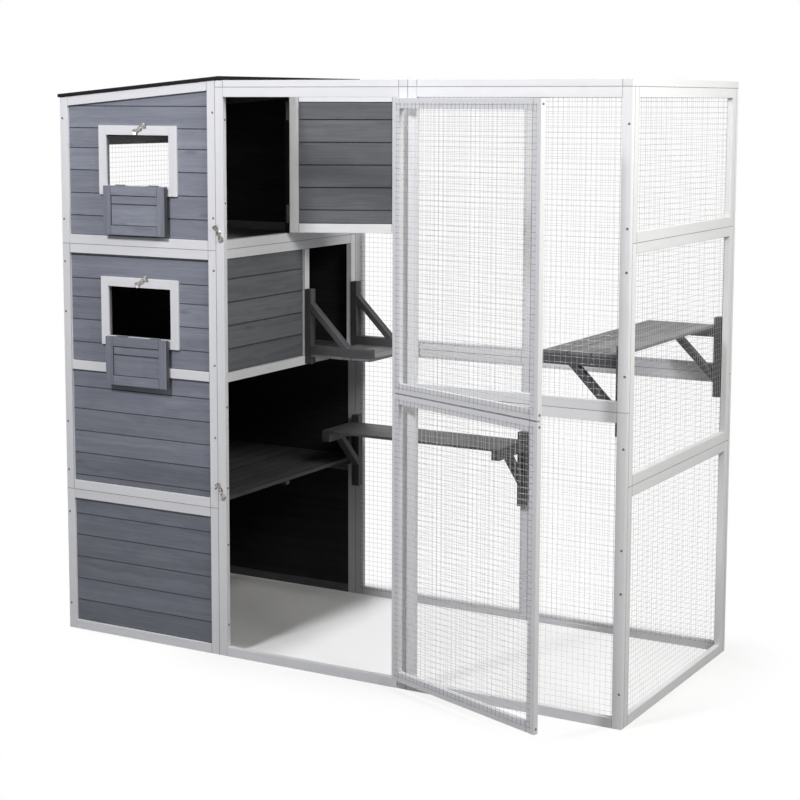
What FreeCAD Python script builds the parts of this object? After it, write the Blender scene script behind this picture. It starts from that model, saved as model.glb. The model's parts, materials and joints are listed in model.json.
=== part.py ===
"""Outdoor cat enclosure: a boarded tower with two nest boxes, joined to a mesh run.

Millimetres.  It is drawn with X along the front from the tower's left edge, Y from the front
face to the back and Z up from the ground.  The finished pieces are then moved together, so
that the origin lies at the bottom centre of the enclosure as it stands with its doors open.
"""
import FreeCAD, Part
import math
import os

Vector = FreeCAD.Vector
AXIS_X = Vector(1, 0, 0)
AXIS_Y = Vector(0, 1, 0)
AXIS_Z = Vector(0, 0, 1)

# Overall layout
tower_width = 614.0
door_bay_width = 682.0
side_bay_width = 697.0
enclosure_depth = 860.0
run_height = 1800.0
roof_clearance = 1.0
roof_fall = 53.0

# Heights of the seams between stacked panels
tower_low_seam = 477.0
nest_seam = 1295.0
front_seam = 905.0
side_low_seam = 693.0
side_high_seam = 1373.0

# Painted strips, mesh roof strips and boards
strip_width = 30.0
strip_thickness = 18.0
roof_strip_thickness = 21.0
board_thickness = 10.0
board_pitch = 74.0
groove_chamfer = 1.5
bottom_board_widths = (70.0, 73.0, 75.0, 74.0, 72.0)
low_middle_board_widths = (20.0, 74.0, 74.0, 74.0, 74.0)
high_middle_board_widths = (62.0, 75.0, 74.0, 62.0, 75.0)
top_board_widths = (63.0, 73.0, 74.0, 72.0, 64.0, 70.0)

# Tower rails, floors and roof
cross_rail_level = 880.0
side_wall_level = 873.0
side_wall_clearance = 2.3
middle_post_front = 511.0
nest_post_front = 420.0
left_head_board = 98.0
floor_plank_thickness = 12.0
floor_plank_width = 73.0
platform_level = 493.0
middle_floor_level = 891.0
nest_floor_drop = 12.0
batten_size = 20.0
roof_thickness = 9.0
felt_thickness = 1.5
roof_front_overhang = 2.0
roof_left_overhang = 5.0
roof_inner_overhang = 15.5
roof_back_inset = 16.5

# Windows and their drop-down shutters
window_left = 186.5
window_width = 248.5
window_height = 161.5
high_window_share = 0.646
low_window_share = 0.461
trim_stile_width = 30.0
trim_rail_width = 30.0
trim_thickness = 8.0
shutter_thickness = 16.0
shutter_board_thickness = 8.0
shutter_low_board = 28.0
shutter_open_angle = 180.0

# Doors
door_thickness = 16.0
door_gap = 2.5
door_open_angle = 159.0
nest_door_open_angle = 116.0
nest_door_low_board = 44.5

# Wire mesh, drawn as an open grid
net_thickness = 2.0
net_lap = 10.0
net_bar = 3.0
net_pitch = 122.0

# Shelves on brackets
shelf_plank_thickness = 9.0
shelf_plank_count = 3
shelf_plank_gap = 2.0
wall_shelf_reach = 249.0
back_shelf_reach = 222.0
landing_reach = 256.0
wall_brace_span = 144.0
back_brace_span = 115.0
landing_brace_span = 144.0
wall_shelf_top = 1062.5
back_shelf_top = 630.5
landing_top = 909.0
bracket_width = 30.0
bracket_leg_thickness = 24.0
bracket_leg_length = 254.0
bracket_leg_overrun = 24.0
bracket_arm_height = 30.0
brace_width = 19.0
shelf_back_inset = 20.0
shelf_clearance = 0.5

# Butt hinges
door_hinge_length = 60.0
shutter_hinge_length = 38.0
door_knuckle_radius = 3.0
shutter_knuckle_radius = 2.5
hinge_pin_radius = 1.5
hinge_bore_clearance = 0.05
knuckle_clearance = 0.3
knuckle_end_gap = 0.3
leaf_thickness = 1.0
leaf_depth = 12.0
round_sides = 12
door_hinge_inset = 130.0
nest_hinge_inset = 60.0
shutter_hinge_inset = 58.0

# Butterfly turn latches
latch_base_radius = 9.0
latch_base_thickness = 1.5
latch_pivot_radius = 3.0
latch_head_radius = 5.5
latch_head_height = 2.0
latch_clearance = 0.3
latch_bore_clearance = 0.08
wing_thickness = 1.6
wing_length = 30.0
wing_half_angle = 14.0
wing_hub_radius = 7.0
wing_rim_thickness = 1.4
wing_rim_height = 3.0
door_latch_inset = 10.0
upper_door_latch_height = 1350.0
lower_door_latch_height = 536.0
window_latch_offset = 14.0
window_latch_rise = 21.0
door_latch_angle = -62.0
window_latch_angle = 32.0

# Places worked out from the sizes above
total_width = tower_width + door_bay_width + side_bay_width
side_bay_left = tower_width + door_bay_width
board_recess = strip_thickness - board_thickness
inner_back = enclosure_depth - strip_thickness
roof_slope = roof_fall / tower_width
tower_right_height = run_height + roof_strip_thickness + roof_clearance
tower_left_height = tower_right_height - roof_fall
side_wall_head = tower_right_height - roof_slope * strip_thickness - side_wall_clearance
net_inner_depth = strip_thickness + net_thickness


class Wall:
    """A flat side of the enclosure, measured along it, up it and inward from its outer face."""

    def __init__(self, origin, along, up, inward):
        self.origin = origin
        self.along = along
        self.up = up
        self.inward = inward

    def place(self, a, u, d):
        """Point at a distance along the wall, up it and inward from it."""
        return self.origin + self.along * a + self.up * u + self.inward * d

    def block(self, a0, a1, u0, u1, d0, d1):
        """Straight block between two distances along, up and inward."""
        p = self.place(a0, u0, d0)
        q = self.place(a1, u1, d1)
        low = Vector(min(p.x, q.x), min(p.y, q.y), min(p.z, q.z))
        return Part.makeBox(abs(q.x - p.x), abs(q.y - p.y), abs(q.z - p.z), low)

    def slab(self, outline, d0, d1):
        """Solid with an outline of (along, up) points between two inward distances."""
        points = [self.place(a, u, d0) for a, u in outline]
        face = Part.Face(Part.makePolygon(points + points[:1]))
        return face.extrude(self.inward * (d1 - d0))

    def plank(self, a0, a1, u0, u1, d0, d1, both_faces=False):
        """Board along the wall whose long front edges are chamfered into a groove."""
        c = min(groove_chamfer, (u1 - u0) / 3)
        back = [(u1, d1), (u0, d1)]
        if both_faces:
            back = [(u1, d1 - c), (u1 - c, d1), (u0 + c, d1), (u0, d1 - c)]
        front = [(u0, d0 + c), (u0 + c, d0), (u1 - c, d0), (u1, d0 + c)]
        points = [self.place(a0, u, d) for u, d in front + back]
        face = Part.Face(Part.makePolygon(points + points[:1]))
        return face.extrude(self.along * (a1 - a0))


front = Wall(Vector(0, 0, 0), AXIS_X, AXIS_Z, AXIS_Y)
back = Wall(Vector(0, enclosure_depth, 0), AXIS_X, AXIS_Z, -AXIS_Y)
tower_left = Wall(Vector(0, 0, 0), AXIS_Y, AXIS_Z, AXIS_X)
tower_side = Wall(Vector(tower_width, 0, 0), AXIS_Y, AXIS_Z, -AXIS_X)
run_side = Wall(Vector(total_width, 0, 0), AXIS_Y, AXIS_Z, -AXIS_X)
run_top = Wall(Vector(0, 0, run_height + roof_strip_thickness), AXIS_X, AXIS_Y, -AXIS_Z)

pieces = {}
pivots = {}


def frame(wall, a0, a1, u0, u1, thickness=strip_thickness, depth=0.0, stile=strip_width, rail=strip_width):
    """Four strips of a panel: the stiles run full height and the rails fit between them."""
    d1 = depth + thickness
    return [
        wall.block(a0, a0 + stile, u0, u1, depth, d1),
        wall.block(a1 - stile, a1, u0, u1, depth, d1),
        wall.block(a0 + stile, a1 - stile, u0, u0 + rail, depth, d1),
        wall.block(a0 + stile, a1 - stile, u1 - rail, u1, depth, d1),
    ]


def net(wall, a0, a1, u0, u1, thickness=strip_thickness):
    """Mesh fixed on the inner face of the frame between two places along and up a wall."""
    low_a = a0 + strip_width
    low_u = u0 + strip_width
    opening_a = a1 - a0 - 2 * strip_width
    opening_u = u1 - u0 - 2 * strip_width
    columns = max(1, round(opening_a / net_pitch))
    rows = max(1, round(opening_u / net_pitch))
    step_a = (opening_a + net_bar) / columns
    step_u = (opening_u + net_bar) / rows

    def loop(p, q, r, s):
        corners = [(p, r), (q, r), (q, s), (p, s), (p, r)]
        return Part.makePolygon([wall.place(a, u, thickness) for a, u in corners])

    outer = loop(low_a - net_lap, low_a + opening_a + net_lap, low_u - net_lap, low_u + opening_u + net_lap)
    loops = [outer]
    for column in range(columns):
        for row in range(rows):
            left = low_a + column * step_a
            bottom = low_u + row * step_u
            loops.append(loop(left, left + step_a - net_bar, bottom, bottom + step_u - net_bar))
    face = Part.makeFace(loops, "Part::FaceMakerBullseye")
    return face.extrude(wall.inward * net_thickness)


def board_edges(u0, u1, widths):
    """Heights where boards of the given widths, laid upward, meet, with both ends."""
    edges = [u0]
    for width in widths:
        if edges[-1] + width + 2 * groove_chamfer >= u1:
            break
        edges.append(edges[-1] + width)
    return edges + [u1]


def even_widths(u0, u1, first=board_pitch, pitch=board_pitch):
    """Widths of boards of one pitch that fill a height, with a first board of its own width."""
    count = max(0, math.ceil((u1 - u0 - first) / pitch))
    return [first] + [pitch] * count


def boards(wall, a0, a1, u0, u1, widths, window=None):
    """Boards between the strips of a frame; those at a window stop at its sides."""
    d0 = board_recess
    d1 = strip_thickness
    edges = board_edges(u0, u1, widths)
    made = []
    for low, high in zip(edges, edges[1:]):
        if window is None or high <= window[2] or low >= window[3]:
            made.append(wall.plank(a0, a1, low, high, d0, d1))
            continue
        made.append(wall.plank(a0, window[0], low, high, d0, d1))
        made.append(wall.plank(window[1], a1, low, high, d0, d1))
        if low < window[2]:
            made.append(wall.block(window[0], window[1], low, window[2], d0, d1))
        if high > window[3]:
            made.append(wall.block(window[0], window[1], window[3], high, d0, d1))
    return made


def roof_line(x):
    """Height of the underside of the sloping roof."""
    return tower_left_height + roof_slope * x


def turned(solids, pivot, axis, angle):
    """Solids swung about a hinge."""
    swung = []
    for solid in solids:
        copy = solid.copy()
        copy.rotate(pivot, axis, angle)
        swung.append(copy)
    return swung


def oriented(solid, pivot, across, outward):
    """Solid drawn about its own axes, set at a pivot with X across and Y outward."""
    along = across.cross(outward)
    matrix = FreeCAD.Matrix(
        across.x, outward.x, along.x, pivot.x,
        across.y, outward.y, along.y, pivot.y,
        across.z, outward.z, along.z, pivot.z,
        0, 0, 0, 1,
    )
    solid.Placement = FreeCAD.Placement(matrix)
    return solid


def polar(radius, angle, height=0.0):
    """Point at a radius and an angle in degrees."""
    turn = math.radians(angle)
    return Vector(radius * math.cos(turn), radius * math.sin(turn), height)


def bar(radius, z0, z1):
    """Small round bar along Z, drawn with flat sides."""
    step = 360.0 / round_sides
    points = [polar(radius, step * number, z0) for number in range(round_sides)]
    return Part.Face(Part.makePolygon(points + points[:1])).extrude(AXIS_Z * (z1 - z0))


def knuckle_offset(radius):
    """Distance of a hinge pin in front of the face that its knuckles stand on."""
    return radius + knuckle_clearance


def hinge(pivot, across, outward, length, radius):
    """Butt hinge, closed: its frame leaf, its door leaf and its pin."""
    offset = knuckle_offset(radius)
    half = length / 2
    third = length / 6
    inner = door_gap / 2 - leaf_thickness
    bore_radius = (hinge_pin_radius + hinge_bore_clearance) / math.cos(math.pi / round_sides)
    bore = bar(bore_radius, -length, length)

    def leaf(side, spans):
        low = inner if side > 0 else -inner - leaf_thickness
        solid = Part.makeBox(leaf_thickness, leaf_depth, length, Vector(low, -offset - leaf_depth, -half))
        for z0, z1 in spans:
            neck = Part.makeBox(leaf_thickness, offset, z1 - z0, Vector(low, -offset, z0))
            solid = solid.fuse(neck).fuse(bar(radius, z0, z1))
        return solid.cut(bore).removeSplitter()

    frame_leaf = leaf(1, [(-half, -third - knuckle_end_gap), (third + knuckle_end_gap, half)])
    door_leaf = leaf(-1, [(-third, third)])
    pin = bar(hinge_pin_radius, -half, half)
    return [oriented(solid, pivot, across, outward) for solid in (frame_leaf, door_leaf, pin)]


def hang(name, solids, pivot, axis, angle, hinges):
    """Swing a door's groups of solids open, and share its hinges out to the frame and the door."""
    frame_leaves = [parts[0] for parts in hinges]
    door_leaves = [parts[1] for parts in hinges]
    pins = [parts[2] for parts in hinges]
    pieces.setdefault("hinge_frame_leaves", []).extend(frame_leaves)
    pieces.setdefault("hinge_pins", []).extend(pins)
    for node, group in solids.items():
        pieces[node] = turned(group, pivot, axis, angle)
    pieces[name + "_hinge_leaves"] = turned(door_leaves, pivot, axis, angle)
    pivots[name] = pivot


def tower_panels():
    """Framed and boarded walls of the tower, and the mesh window high on its left."""
    left = strip_width
    right = tower_width - strip_width
    window_high = window_box(high_window_sill())
    window_low = window_box(low_window_sill())
    for wall, place in ((front, "front"), (back, "back")):
        bottom = frame(wall, 0, tower_width, 0, tower_low_seam)
        middle = frame(wall, 0, tower_width, tower_low_seam, nest_seam)
        cross_top = cross_rail_level + strip_width
        middle.append(wall.block(left, right, cross_rail_level, cross_top, 0, strip_thickness))
        top = gable_frame(wall)
        low_field = (strip_width, tower_low_seam - strip_width)
        middle_low_field = (tower_low_seam + strip_width, cross_rail_level)
        middle_high_field = (cross_top, nest_seam - strip_width)
        top_field = (nest_seam + strip_width, roof_line(right) - strip_width)
        holes = (window_low, window_high) if wall is front else (None, None)
        planks = boards(wall, left, right, *low_field, bottom_board_widths)
        planks += boards(wall, left, right, *middle_low_field, low_middle_board_widths)
        planks += boards(wall, left, right, *middle_high_field, high_middle_board_widths, holes[0])
        planks += gable_boards(wall, left, right, *top_field, holes[1])
        pieces["tower_%s_boards" % place] = planks
        if wall is front:
            pieces["tower_front_bottom_frame"] = bottom
            pieces["tower_front_middle_frame"] = middle
            pieces["tower_front_top_frame"] = top
        else:
            pieces["tower_back_frame"] = bottom + middle + top

    tiers = ((0, tower_low_seam), (tower_low_seam, nest_seam), (nest_seam, tower_left_height))
    frames = []
    for low, high in tiers:
        frames += frame(tower_left, strip_thickness, inner_back, low, high)
    y0 = strip_thickness + strip_width
    y1 = inner_back - strip_width
    mesh_head = tower_left_height - 2 * strip_width - left_head_board
    mesh_head_top = mesh_head + strip_width
    frames.append(tower_left.block(y0, y1, mesh_head, mesh_head_top, 0, strip_thickness))
    pieces["tower_left_frame"] = frames
    planks = []
    fields = [(low + strip_width, high - strip_width) for low, high in tiers[:2]]
    fields.append((mesh_head_top, tower_left_height - strip_width))
    for field in fields:
        planks += boards(tower_left, y0, y1, *field, even_widths(*field))
    pieces["tower_left_boards"] = planks
    pieces["tower_left_net"] = [net(tower_left, strip_thickness, inner_back, nest_seam, mesh_head_top)]


def gable_frame(wall):
    """Top frame of the tower, whose head rail slopes with the roof."""
    left = strip_width
    right = tower_width - strip_width
    low = nest_seam
    stile_left = [(0, low), (left, low), (left, roof_line(left)), (0, roof_line(0))]
    stile_right = [(right, low), (tower_width, low), (tower_width, roof_line(tower_width)), (right, roof_line(right))]
    head = [
        (left, roof_line(left) - strip_width),
        (right, roof_line(right) - strip_width),
        (right, roof_line(right)),
        (left, roof_line(left)),
    ]
    strips = [wall.slab(outline, 0, strip_thickness) for outline in (stile_left, stile_right, head)]
    strips.append(wall.block(left, right, low, low + strip_width, 0, strip_thickness))
    return strips


def gable_boards(wall, left, right, u0, u1, window):
    """Boards of the tower's top tier, the highest ones cut along the sloping head rail."""
    under_left = roof_line(left) - strip_width
    under_right = roof_line(right) - strip_width
    outline = [(left, u0), (right, u0), (right, under_right), (left, under_left)]
    field = wall.slab(outline, 0, strip_thickness)
    made = []
    for plank in boards(wall, left, right, u0, u1, top_board_widths, window):
        made += plank.common(field).Solids
    return made


def window_sill(low, high, share):
    """Height of a sill whose trim takes a share of the height to spare between two rails."""
    spare = high - low - window_height - 2 * trim_rail_width
    return low + share * spare + trim_rail_width


def high_window_sill():
    """Height of the sill of the window in the nest box."""
    trim_left = window_left - trim_stile_width
    trim_right = window_left + window_width + trim_stile_width
    head = min(roof_line(trim_left), roof_line(trim_right)) - strip_width
    return window_sill(nest_seam + strip_width, head, high_window_share)


def low_window_sill():
    """Height of the sill of the window in the middle box."""
    return window_sill(cross_rail_level + strip_width, nest_seam - strip_width, low_window_share)


def window_box(sill):
    """Left, right, bottom and top of a window opening."""
    return (window_left, window_left + window_width, sill, sill + window_height)


def tower_side_wall():
    """Wall between the tower and the run: a doorway in each box, and boards beside it."""
    y0 = strip_thickness
    y1 = inner_back
    middle = frame(tower_side, y0, y1, side_wall_level, nest_seam)
    low = side_wall_level + strip_width
    high = nest_seam - strip_width
    post_back = middle_post_front + strip_width
    middle.append(tower_side.block(middle_post_front, post_back, low, high, 0, strip_thickness))
    top = frame(tower_side, y0, y1, nest_seam, side_wall_head)
    nest_low = nest_seam + strip_width
    nest_high = side_wall_head - strip_width
    nest_post_back = nest_post_front + strip_width
    top.append(tower_side.block(nest_post_front, nest_post_back, nest_low, nest_high, 0, strip_thickness))
    pieces["tower_side_middle_frame"] = middle
    pieces["tower_side_top_frame"] = top
    planks = boards(tower_side, y0 + strip_width, middle_post_front, low, high, even_widths(low, high))
    planks += boards(
        tower_side, nest_post_back, y1 - strip_width, nest_low, nest_high, even_widths(nest_low, nest_high)
    )
    pieces["tower_side_boards"] = planks


def floor_planks(level, right):
    """Planks of a floor, laid front to back and chamfered where they meet."""
    left = strip_thickness
    count = max(1, round((right - left) / floor_plank_width))
    width = (right - left) / count
    top = Wall(Vector(left, strip_thickness, level + floor_plank_thickness), AXIS_Y, AXIS_X, -AXIS_Z)
    run = inner_back - strip_thickness
    return [top.plank(0, run, n * width, (n + 1) * width, 0, floor_plank_thickness) for n in range(count)]


def floor_battens(level, depths):
    """Battens under a floor, each from the left wall to the inner face of the side wall."""
    right = tower_width - strip_thickness
    return [
        front.block(strip_thickness, right, level - batten_size, level, depth, depth + batten_size)
        for depth in depths
    ]


def tower_floors():
    """Nest floor, middle floor and open platform, with the battens that carry them."""
    inner_right = tower_width - strip_thickness
    ends = (strip_thickness, inner_back - batten_size)
    centre = (enclosure_depth - batten_size) / 2
    nest_floor_level = nest_seam - nest_floor_drop
    pieces["nest_floor"] = floor_planks(nest_floor_level, inner_right)
    pieces["middle_floor"] = floor_planks(middle_floor_level, inner_right)
    pieces["lower_platform"] = floor_planks(platform_level, tower_width)
    battens = floor_battens(nest_floor_level, ends)
    battens += floor_battens(middle_floor_level, ends)
    battens += floor_battens(platform_level, (ends[0], centre, ends[1]))
    pieces["floor_battens"] = battens


def roof():
    """Sloping roof sheet over the tower, with felt on its top and over its edges."""
    x0 = -roof_left_overhang
    x1 = tower_width + roof_inner_overhang
    y0 = -roof_front_overhang
    y1 = enclosure_depth - roof_back_inset

    def sheet(grow, thickness):
        outline = [
            (x0 - grow, roof_line(x0 - grow)),
            (x1 + grow, roof_line(x1 + grow)),
            (x1 + grow, roof_line(x1 + grow) + thickness),
            (x0 - grow, roof_line(x0 - grow) + thickness),
        ]
        return front.slab(outline, y0 - grow, y1 + grow)

    panel = sheet(0, roof_thickness)
    pieces["roof_panel"] = [panel]
    pieces["roof_felt"] = [sheet(felt_thickness, roof_thickness + felt_thickness).cut(panel)]


def run_panels():
    """Mesh panels of the run: front, right side, back and top, and the frame of the doorway."""
    y0 = strip_thickness
    y1 = inner_back
    bay = (side_bay_left, total_width)
    pieces["door_bay_frame"] = frame(front, tower_width, side_bay_left, 0, run_height)
    pieces["front_lower_frame"] = frame(front, *bay, 0, front_seam)
    pieces["front_upper_frame"] = frame(front, *bay, front_seam, run_height)
    pieces["front_nets"] = [net(front, *bay, 0, front_seam), net(front, *bay, front_seam, run_height)]

    side_tiers = {
        "side_lower_frame": (0, side_low_seam),
        "side_middle_frame": (side_low_seam, side_high_seam),
        "side_upper_frame": (side_high_seam, run_height),
    }
    for node, tier in side_tiers.items():
        pieces[node] = frame(run_side, y0, y1, *tier)
    pieces["side_nets"] = [net(run_side, y0, y1, *tier) for tier in side_tiers.values()]

    bays = ((tower_width, side_bay_left), bay)
    back_tiers = {"back_lower_frames": (0, front_seam), "back_upper_frames": (front_seam, run_height)}
    nets = []
    for node, tier in back_tiers.items():
        strips = []
        for span in bays:
            strips += frame(back, *span, *tier)
            nets.append(net(back, *span, *tier))
        pieces[node] = strips
    pieces["back_nets"] = nets

    nets = []
    for node, span in zip(("top_left_frame", "top_right_frame"), bays):
        pieces[node] = frame(run_top, *span, 0, enclosure_depth, roof_strip_thickness)
        nets.append(net(run_top, *span, 0, enclosure_depth, roof_strip_thickness))
    pieces["top_nets"] = nets


def bracket(wall, along, seat, reach, span, depth, below=True):
    """Leg, arm and diagonal brace of a shelf bracket, below its shelf or above it."""
    sign = 1 if below else -1
    root = depth + bracket_leg_thickness
    tip = depth + reach

    def height(h):
        return seat + sign * h

    def strip(d0, d1, h0, h1):
        low, high = sorted((height(h0), height(h1)))
        return wall.block(along, along + bracket_width, low, high, d0, d1)

    leg_top = shelf_plank_thickness + bracket_leg_overrun
    leg = strip(depth, root, leg_top - bracket_leg_length, leg_top)
    arm = strip(root, tip, -bracket_arm_height, 0)
    inner_span = span - brace_width * math.sqrt(2)
    corners = [
        (root + span, -bracket_arm_height),
        (root + inner_span, -bracket_arm_height),
        (root, -bracket_arm_height - inner_span),
        (root, -bracket_arm_height - span),
    ]
    points = [wall.place(along, height(h), d) for d, h in corners]
    face = Part.Face(Part.makePolygon(points + points[:1]))
    return [leg, arm, face.extrude(wall.along * bracket_width)]


def shelf_planks(wall, a0, a1, low, reach, depth):
    """Planks of a shelf, laid along a wall from the bracket legs to the tips of the arms."""
    start = depth + bracket_leg_thickness
    end = depth + reach
    width = (end - start - (shelf_plank_count - 1) * shelf_plank_gap) / shelf_plank_count
    made = []
    for number in range(shelf_plank_count):
        d0 = start + number * (width + shelf_plank_gap)
        made.append(wall.block(a0, a1, low, low + shelf_plank_thickness, d0, d0 + width))
    return made


def shelves():
    """Shelf on the run's right wall, shelf along its back, and the landing at the middle box."""
    first = net_inner_depth + shelf_clearance
    last = enclosure_depth - first - bracket_width
    brackets = []

    seat = wall_shelf_top - shelf_plank_thickness
    reach = wall_shelf_reach - net_thickness
    for along in (first, last):
        brackets += bracket(run_side, along, seat, reach, wall_brace_span, net_inner_depth)
    end = last + bracket_width - shelf_back_inset
    pieces["wall_shelf"] = shelf_planks(run_side, first, end, seat, reach, net_inner_depth)

    seat = back_shelf_top - shelf_plank_thickness
    reach = back_shelf_reach - net_thickness
    for along in (tower_width, side_bay_left - bracket_width):
        brackets += bracket(back, along, seat, reach, back_brace_span, net_inner_depth)
    pieces["back_shelf"] = shelf_planks(back, tower_width, side_bay_left, seat, reach, net_inner_depth)

    # The landing hangs under its brackets, on the outer face of the tower's side wall
    outside = Wall(tower_side.origin, AXIS_Y, AXIS_Z, AXIS_X)
    for along in (middle_post_front, last):
        brackets += bracket(outside, along, landing_top, landing_reach, landing_brace_span, 0, below=False)
    low = landing_top - shelf_plank_thickness
    end = last + bracket_width
    pieces["landing_shelf"] = shelf_planks(outside, middle_post_front, end, low, landing_reach, 0)
    pieces["shelf_brackets"] = brackets


def run_doors():
    """Upper and lower mesh doors, hung on the right stile of the doorway and standing open."""
    left = tower_width + strip_width + door_gap
    right = side_bay_left - strip_width - door_gap
    spans = {
        "upper_door": (front_seam + door_gap / 2, run_height - strip_width - door_gap),
        "lower_door": (strip_width + door_gap, front_seam - door_gap / 2),
    }
    offset = knuckle_offset(door_knuckle_radius)
    for name, (low, high) in spans.items():
        pivot = Vector(right + door_gap / 2, -offset, (low + high) / 2)
        hinges = []
        for z in (low + door_hinge_inset, high - door_hinge_inset):
            place = Vector(pivot.x, pivot.y, z)
            hinges.append(hinge(place, AXIS_X, -AXIS_Y, door_hinge_length, door_knuckle_radius))
        solids = {
            name + "_frame": frame(front, left, right, low, high, door_thickness),
            name + "_net": [net(front, left, right, low, high, door_thickness)],
        }
        hang(name, solids, pivot, AXIS_Z, door_open_angle, hinges)


def nest_door():
    """Boarded door of the nest box, hung on the post of the side wall and standing open."""
    first = strip_thickness + strip_width + door_gap
    last = nest_post_front - door_gap
    low = nest_seam + strip_width + door_gap
    high = side_wall_head - strip_width - door_gap
    offset = knuckle_offset(door_knuckle_radius)
    pivot = Vector(tower_width + offset, last + door_gap / 2, (low + high) / 2)
    hinges = []
    for z in (low + nest_hinge_inset, high - nest_hinge_inset):
        place = Vector(pivot.x, pivot.y, z)
        hinges.append(hinge(place, AXIS_Y, AXIS_X, door_hinge_length, door_knuckle_radius))
    field = (low + strip_width, high - strip_width)
    edges = board_edges(*field, even_widths(*field, nest_door_low_board))
    recess = (door_thickness - board_thickness) / 2
    a0 = first + strip_width
    a1 = last - strip_width
    planks = [
        tower_side.plank(a0, a1, u0, u1, recess, recess + board_thickness, both_faces=True)
        for u0, u1 in zip(edges, edges[1:])
    ]
    solids = {
        "nest_door_frame": frame(tower_side, first, last, low, high, door_thickness),
        "nest_door_boards": planks,
    }
    hang("nest_door", solids, pivot, AXIS_Z, nest_door_open_angle, hinges)


def windows():
    """Trim round each window, with the shutter that hangs open from its sill."""
    proud = board_recess - trim_thickness
    offset = knuckle_offset(shutter_knuckle_radius)
    sills = {"upper": high_window_sill(), "lower": low_window_sill()}
    for level, sill in sills.items():
        left, right, bottom, top = window_box(sill)
        outer = (left - trim_stile_width, right + trim_stile_width, bottom - trim_rail_width, top + trim_rail_width)
        pieces[level + "_window_trim"] = frame(
            front, *outer, trim_thickness, proud, trim_stile_width, trim_rail_width
        )
        name = level + "_shutter"
        pivot = Vector((left + right) / 2, proud - offset, bottom + door_gap / 2)
        hinges = []
        for x in (left + shutter_hinge_inset, right - shutter_hinge_inset):
            place = Vector(x, pivot.y, pivot.z)
            hinges.append(hinge(place, -AXIS_Z, -AXIS_Y, shutter_hinge_length, shutter_knuckle_radius))
        a0 = left + door_gap
        a1 = right - door_gap
        low = bottom + door_gap
        high = top - door_gap
        d0 = proud + (shutter_thickness - shutter_board_thickness) / 2
        edges = board_edges(low + strip_width, high - strip_width, (shutter_low_board,))
        planks = [
            front.plank(a0 + strip_width, a1 - strip_width, u0, u1, d0, d0 + shutter_board_thickness, True)
            for u0, u1 in zip(edges, edges[1:])
        ]
        solids = {
            name + "_frame": frame(front, a0, a1, low, high, shutter_thickness, proud),
            name + "_boards": planks,
        }
        hang(name, solids, pivot, AXIS_X, shutter_open_angle, hinges)


def latch_base():
    """Washer, pivot and head of a turn latch, standing on the face along its own Z."""
    seat = latch_base_thickness + wing_thickness + 2 * latch_clearance
    washer = bar(latch_base_radius, 0, latch_base_thickness)
    pivot = bar(latch_pivot_radius, 0, seat + latch_head_height)
    head = bar(latch_head_radius, seat, seat + latch_head_height)
    return washer.fuse(pivot).fuse(head).removeSplitter()


def fan(start, end, centre, half):
    """Flat piece between two radii, spread about a centre angle."""
    corners = [polar(start, centre - half), polar(end, centre - half), polar(end, centre + half)]
    corners.append(polar(start, centre + half))
    edges = [
        Part.LineSegment(corners[0], corners[1]).toShape(),
        Part.Arc(corners[1], polar(end, centre), corners[2]).toShape(),
        Part.LineSegment(corners[2], corners[3]).toShape(),
        Part.Arc(corners[3], polar(start, centre), corners[0]).toShape(),
    ]
    return Part.Face(Part.Wire(edges))


def latch_wing():
    """Butterfly of a turn latch: two fans with a turned-up rim, on a bored hub."""
    low = latch_base_thickness + latch_clearance
    rise = AXIS_Z * wing_thickness
    hub = Part.makeCylinder(wing_hub_radius, wing_thickness)
    wing = hub
    for centre in (0, 180):
        wing = wing.fuse(fan(wing_hub_radius / 2, wing_length, centre, wing_half_angle).extrude(rise))
        rim = fan(wing_length - wing_rim_thickness, wing_length, centre, wing_half_angle)
        wing = wing.fuse(rim.extrude(AXIS_Z * (wing_thickness + wing_rim_height)))
    bore = Part.makeCylinder(latch_pivot_radius + latch_bore_clearance, wing_thickness)
    wing = wing.cut(bore).removeSplitter()
    wing.translate(AXIS_Z * low)
    return wing


def latches():
    """Turn latches of the two run doors and of the two shutters, turned as they stand."""
    proud = board_recess - trim_thickness
    window_x = window_left + window_width / 2 + window_latch_offset
    door_x = tower_width + door_latch_inset
    high_top = high_window_sill() + window_height + window_latch_rise
    low_top = low_window_sill() + window_height + window_latch_rise
    places = {
        "upper_door_latch": (Vector(door_x, 0, upper_door_latch_height), door_latch_angle),
        "lower_door_latch": (Vector(door_x, 0, lower_door_latch_height), door_latch_angle),
        "upper_window_latch": (Vector(window_x, proud, high_top), window_latch_angle),
        "lower_window_latch": (Vector(window_x, proud, low_top), window_latch_angle),
    }
    bases = []
    for name, (place, angle) in places.items():
        base = latch_base()
        base.rotate(Vector(0, 0, 0), AXIS_X, 90)
        base.translate(place)
        bases.append(base)
        wing = latch_wing()
        wing.rotate(Vector(0, 0, 0), AXIS_Z, angle)
        wing.rotate(Vector(0, 0, 0), AXIS_X, 90)
        wing.translate(place)
        pieces[name] = [wing]
        pivots[name] = place
    pieces["latch_bases"] = bases


tower_panels()
tower_side_wall()
tower_floors()
roof()
run_panels()
shelves()
run_doors()
nest_door()
windows()
latches()

# Move everything so that the origin is at the bottom centre
box = Part.makeCompound([solid for group in pieces.values() for solid in group]).BoundBox
shift = Vector(-box.Center.x, -box.Center.y, -box.ZMin)
os.makedirs("parts", exist_ok=True)
for node, group in pieces.items():
    shape = Part.makeCompound(group) if len(group) > 1 else group[0]
    shape.translate(shift)
    shape.exportStep("parts/%s.step" % node)
for name, pivot in pivots.items():
    place = pivot + shift
    print("pivot %s %.3f %.3f %.3f" % (name, place.x, place.y, place.z))
print("nodes %d, size %.1f x %.1f x %.1f" % (len(pieces), box.XLength, box.YLength, box.ZLength))
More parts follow.
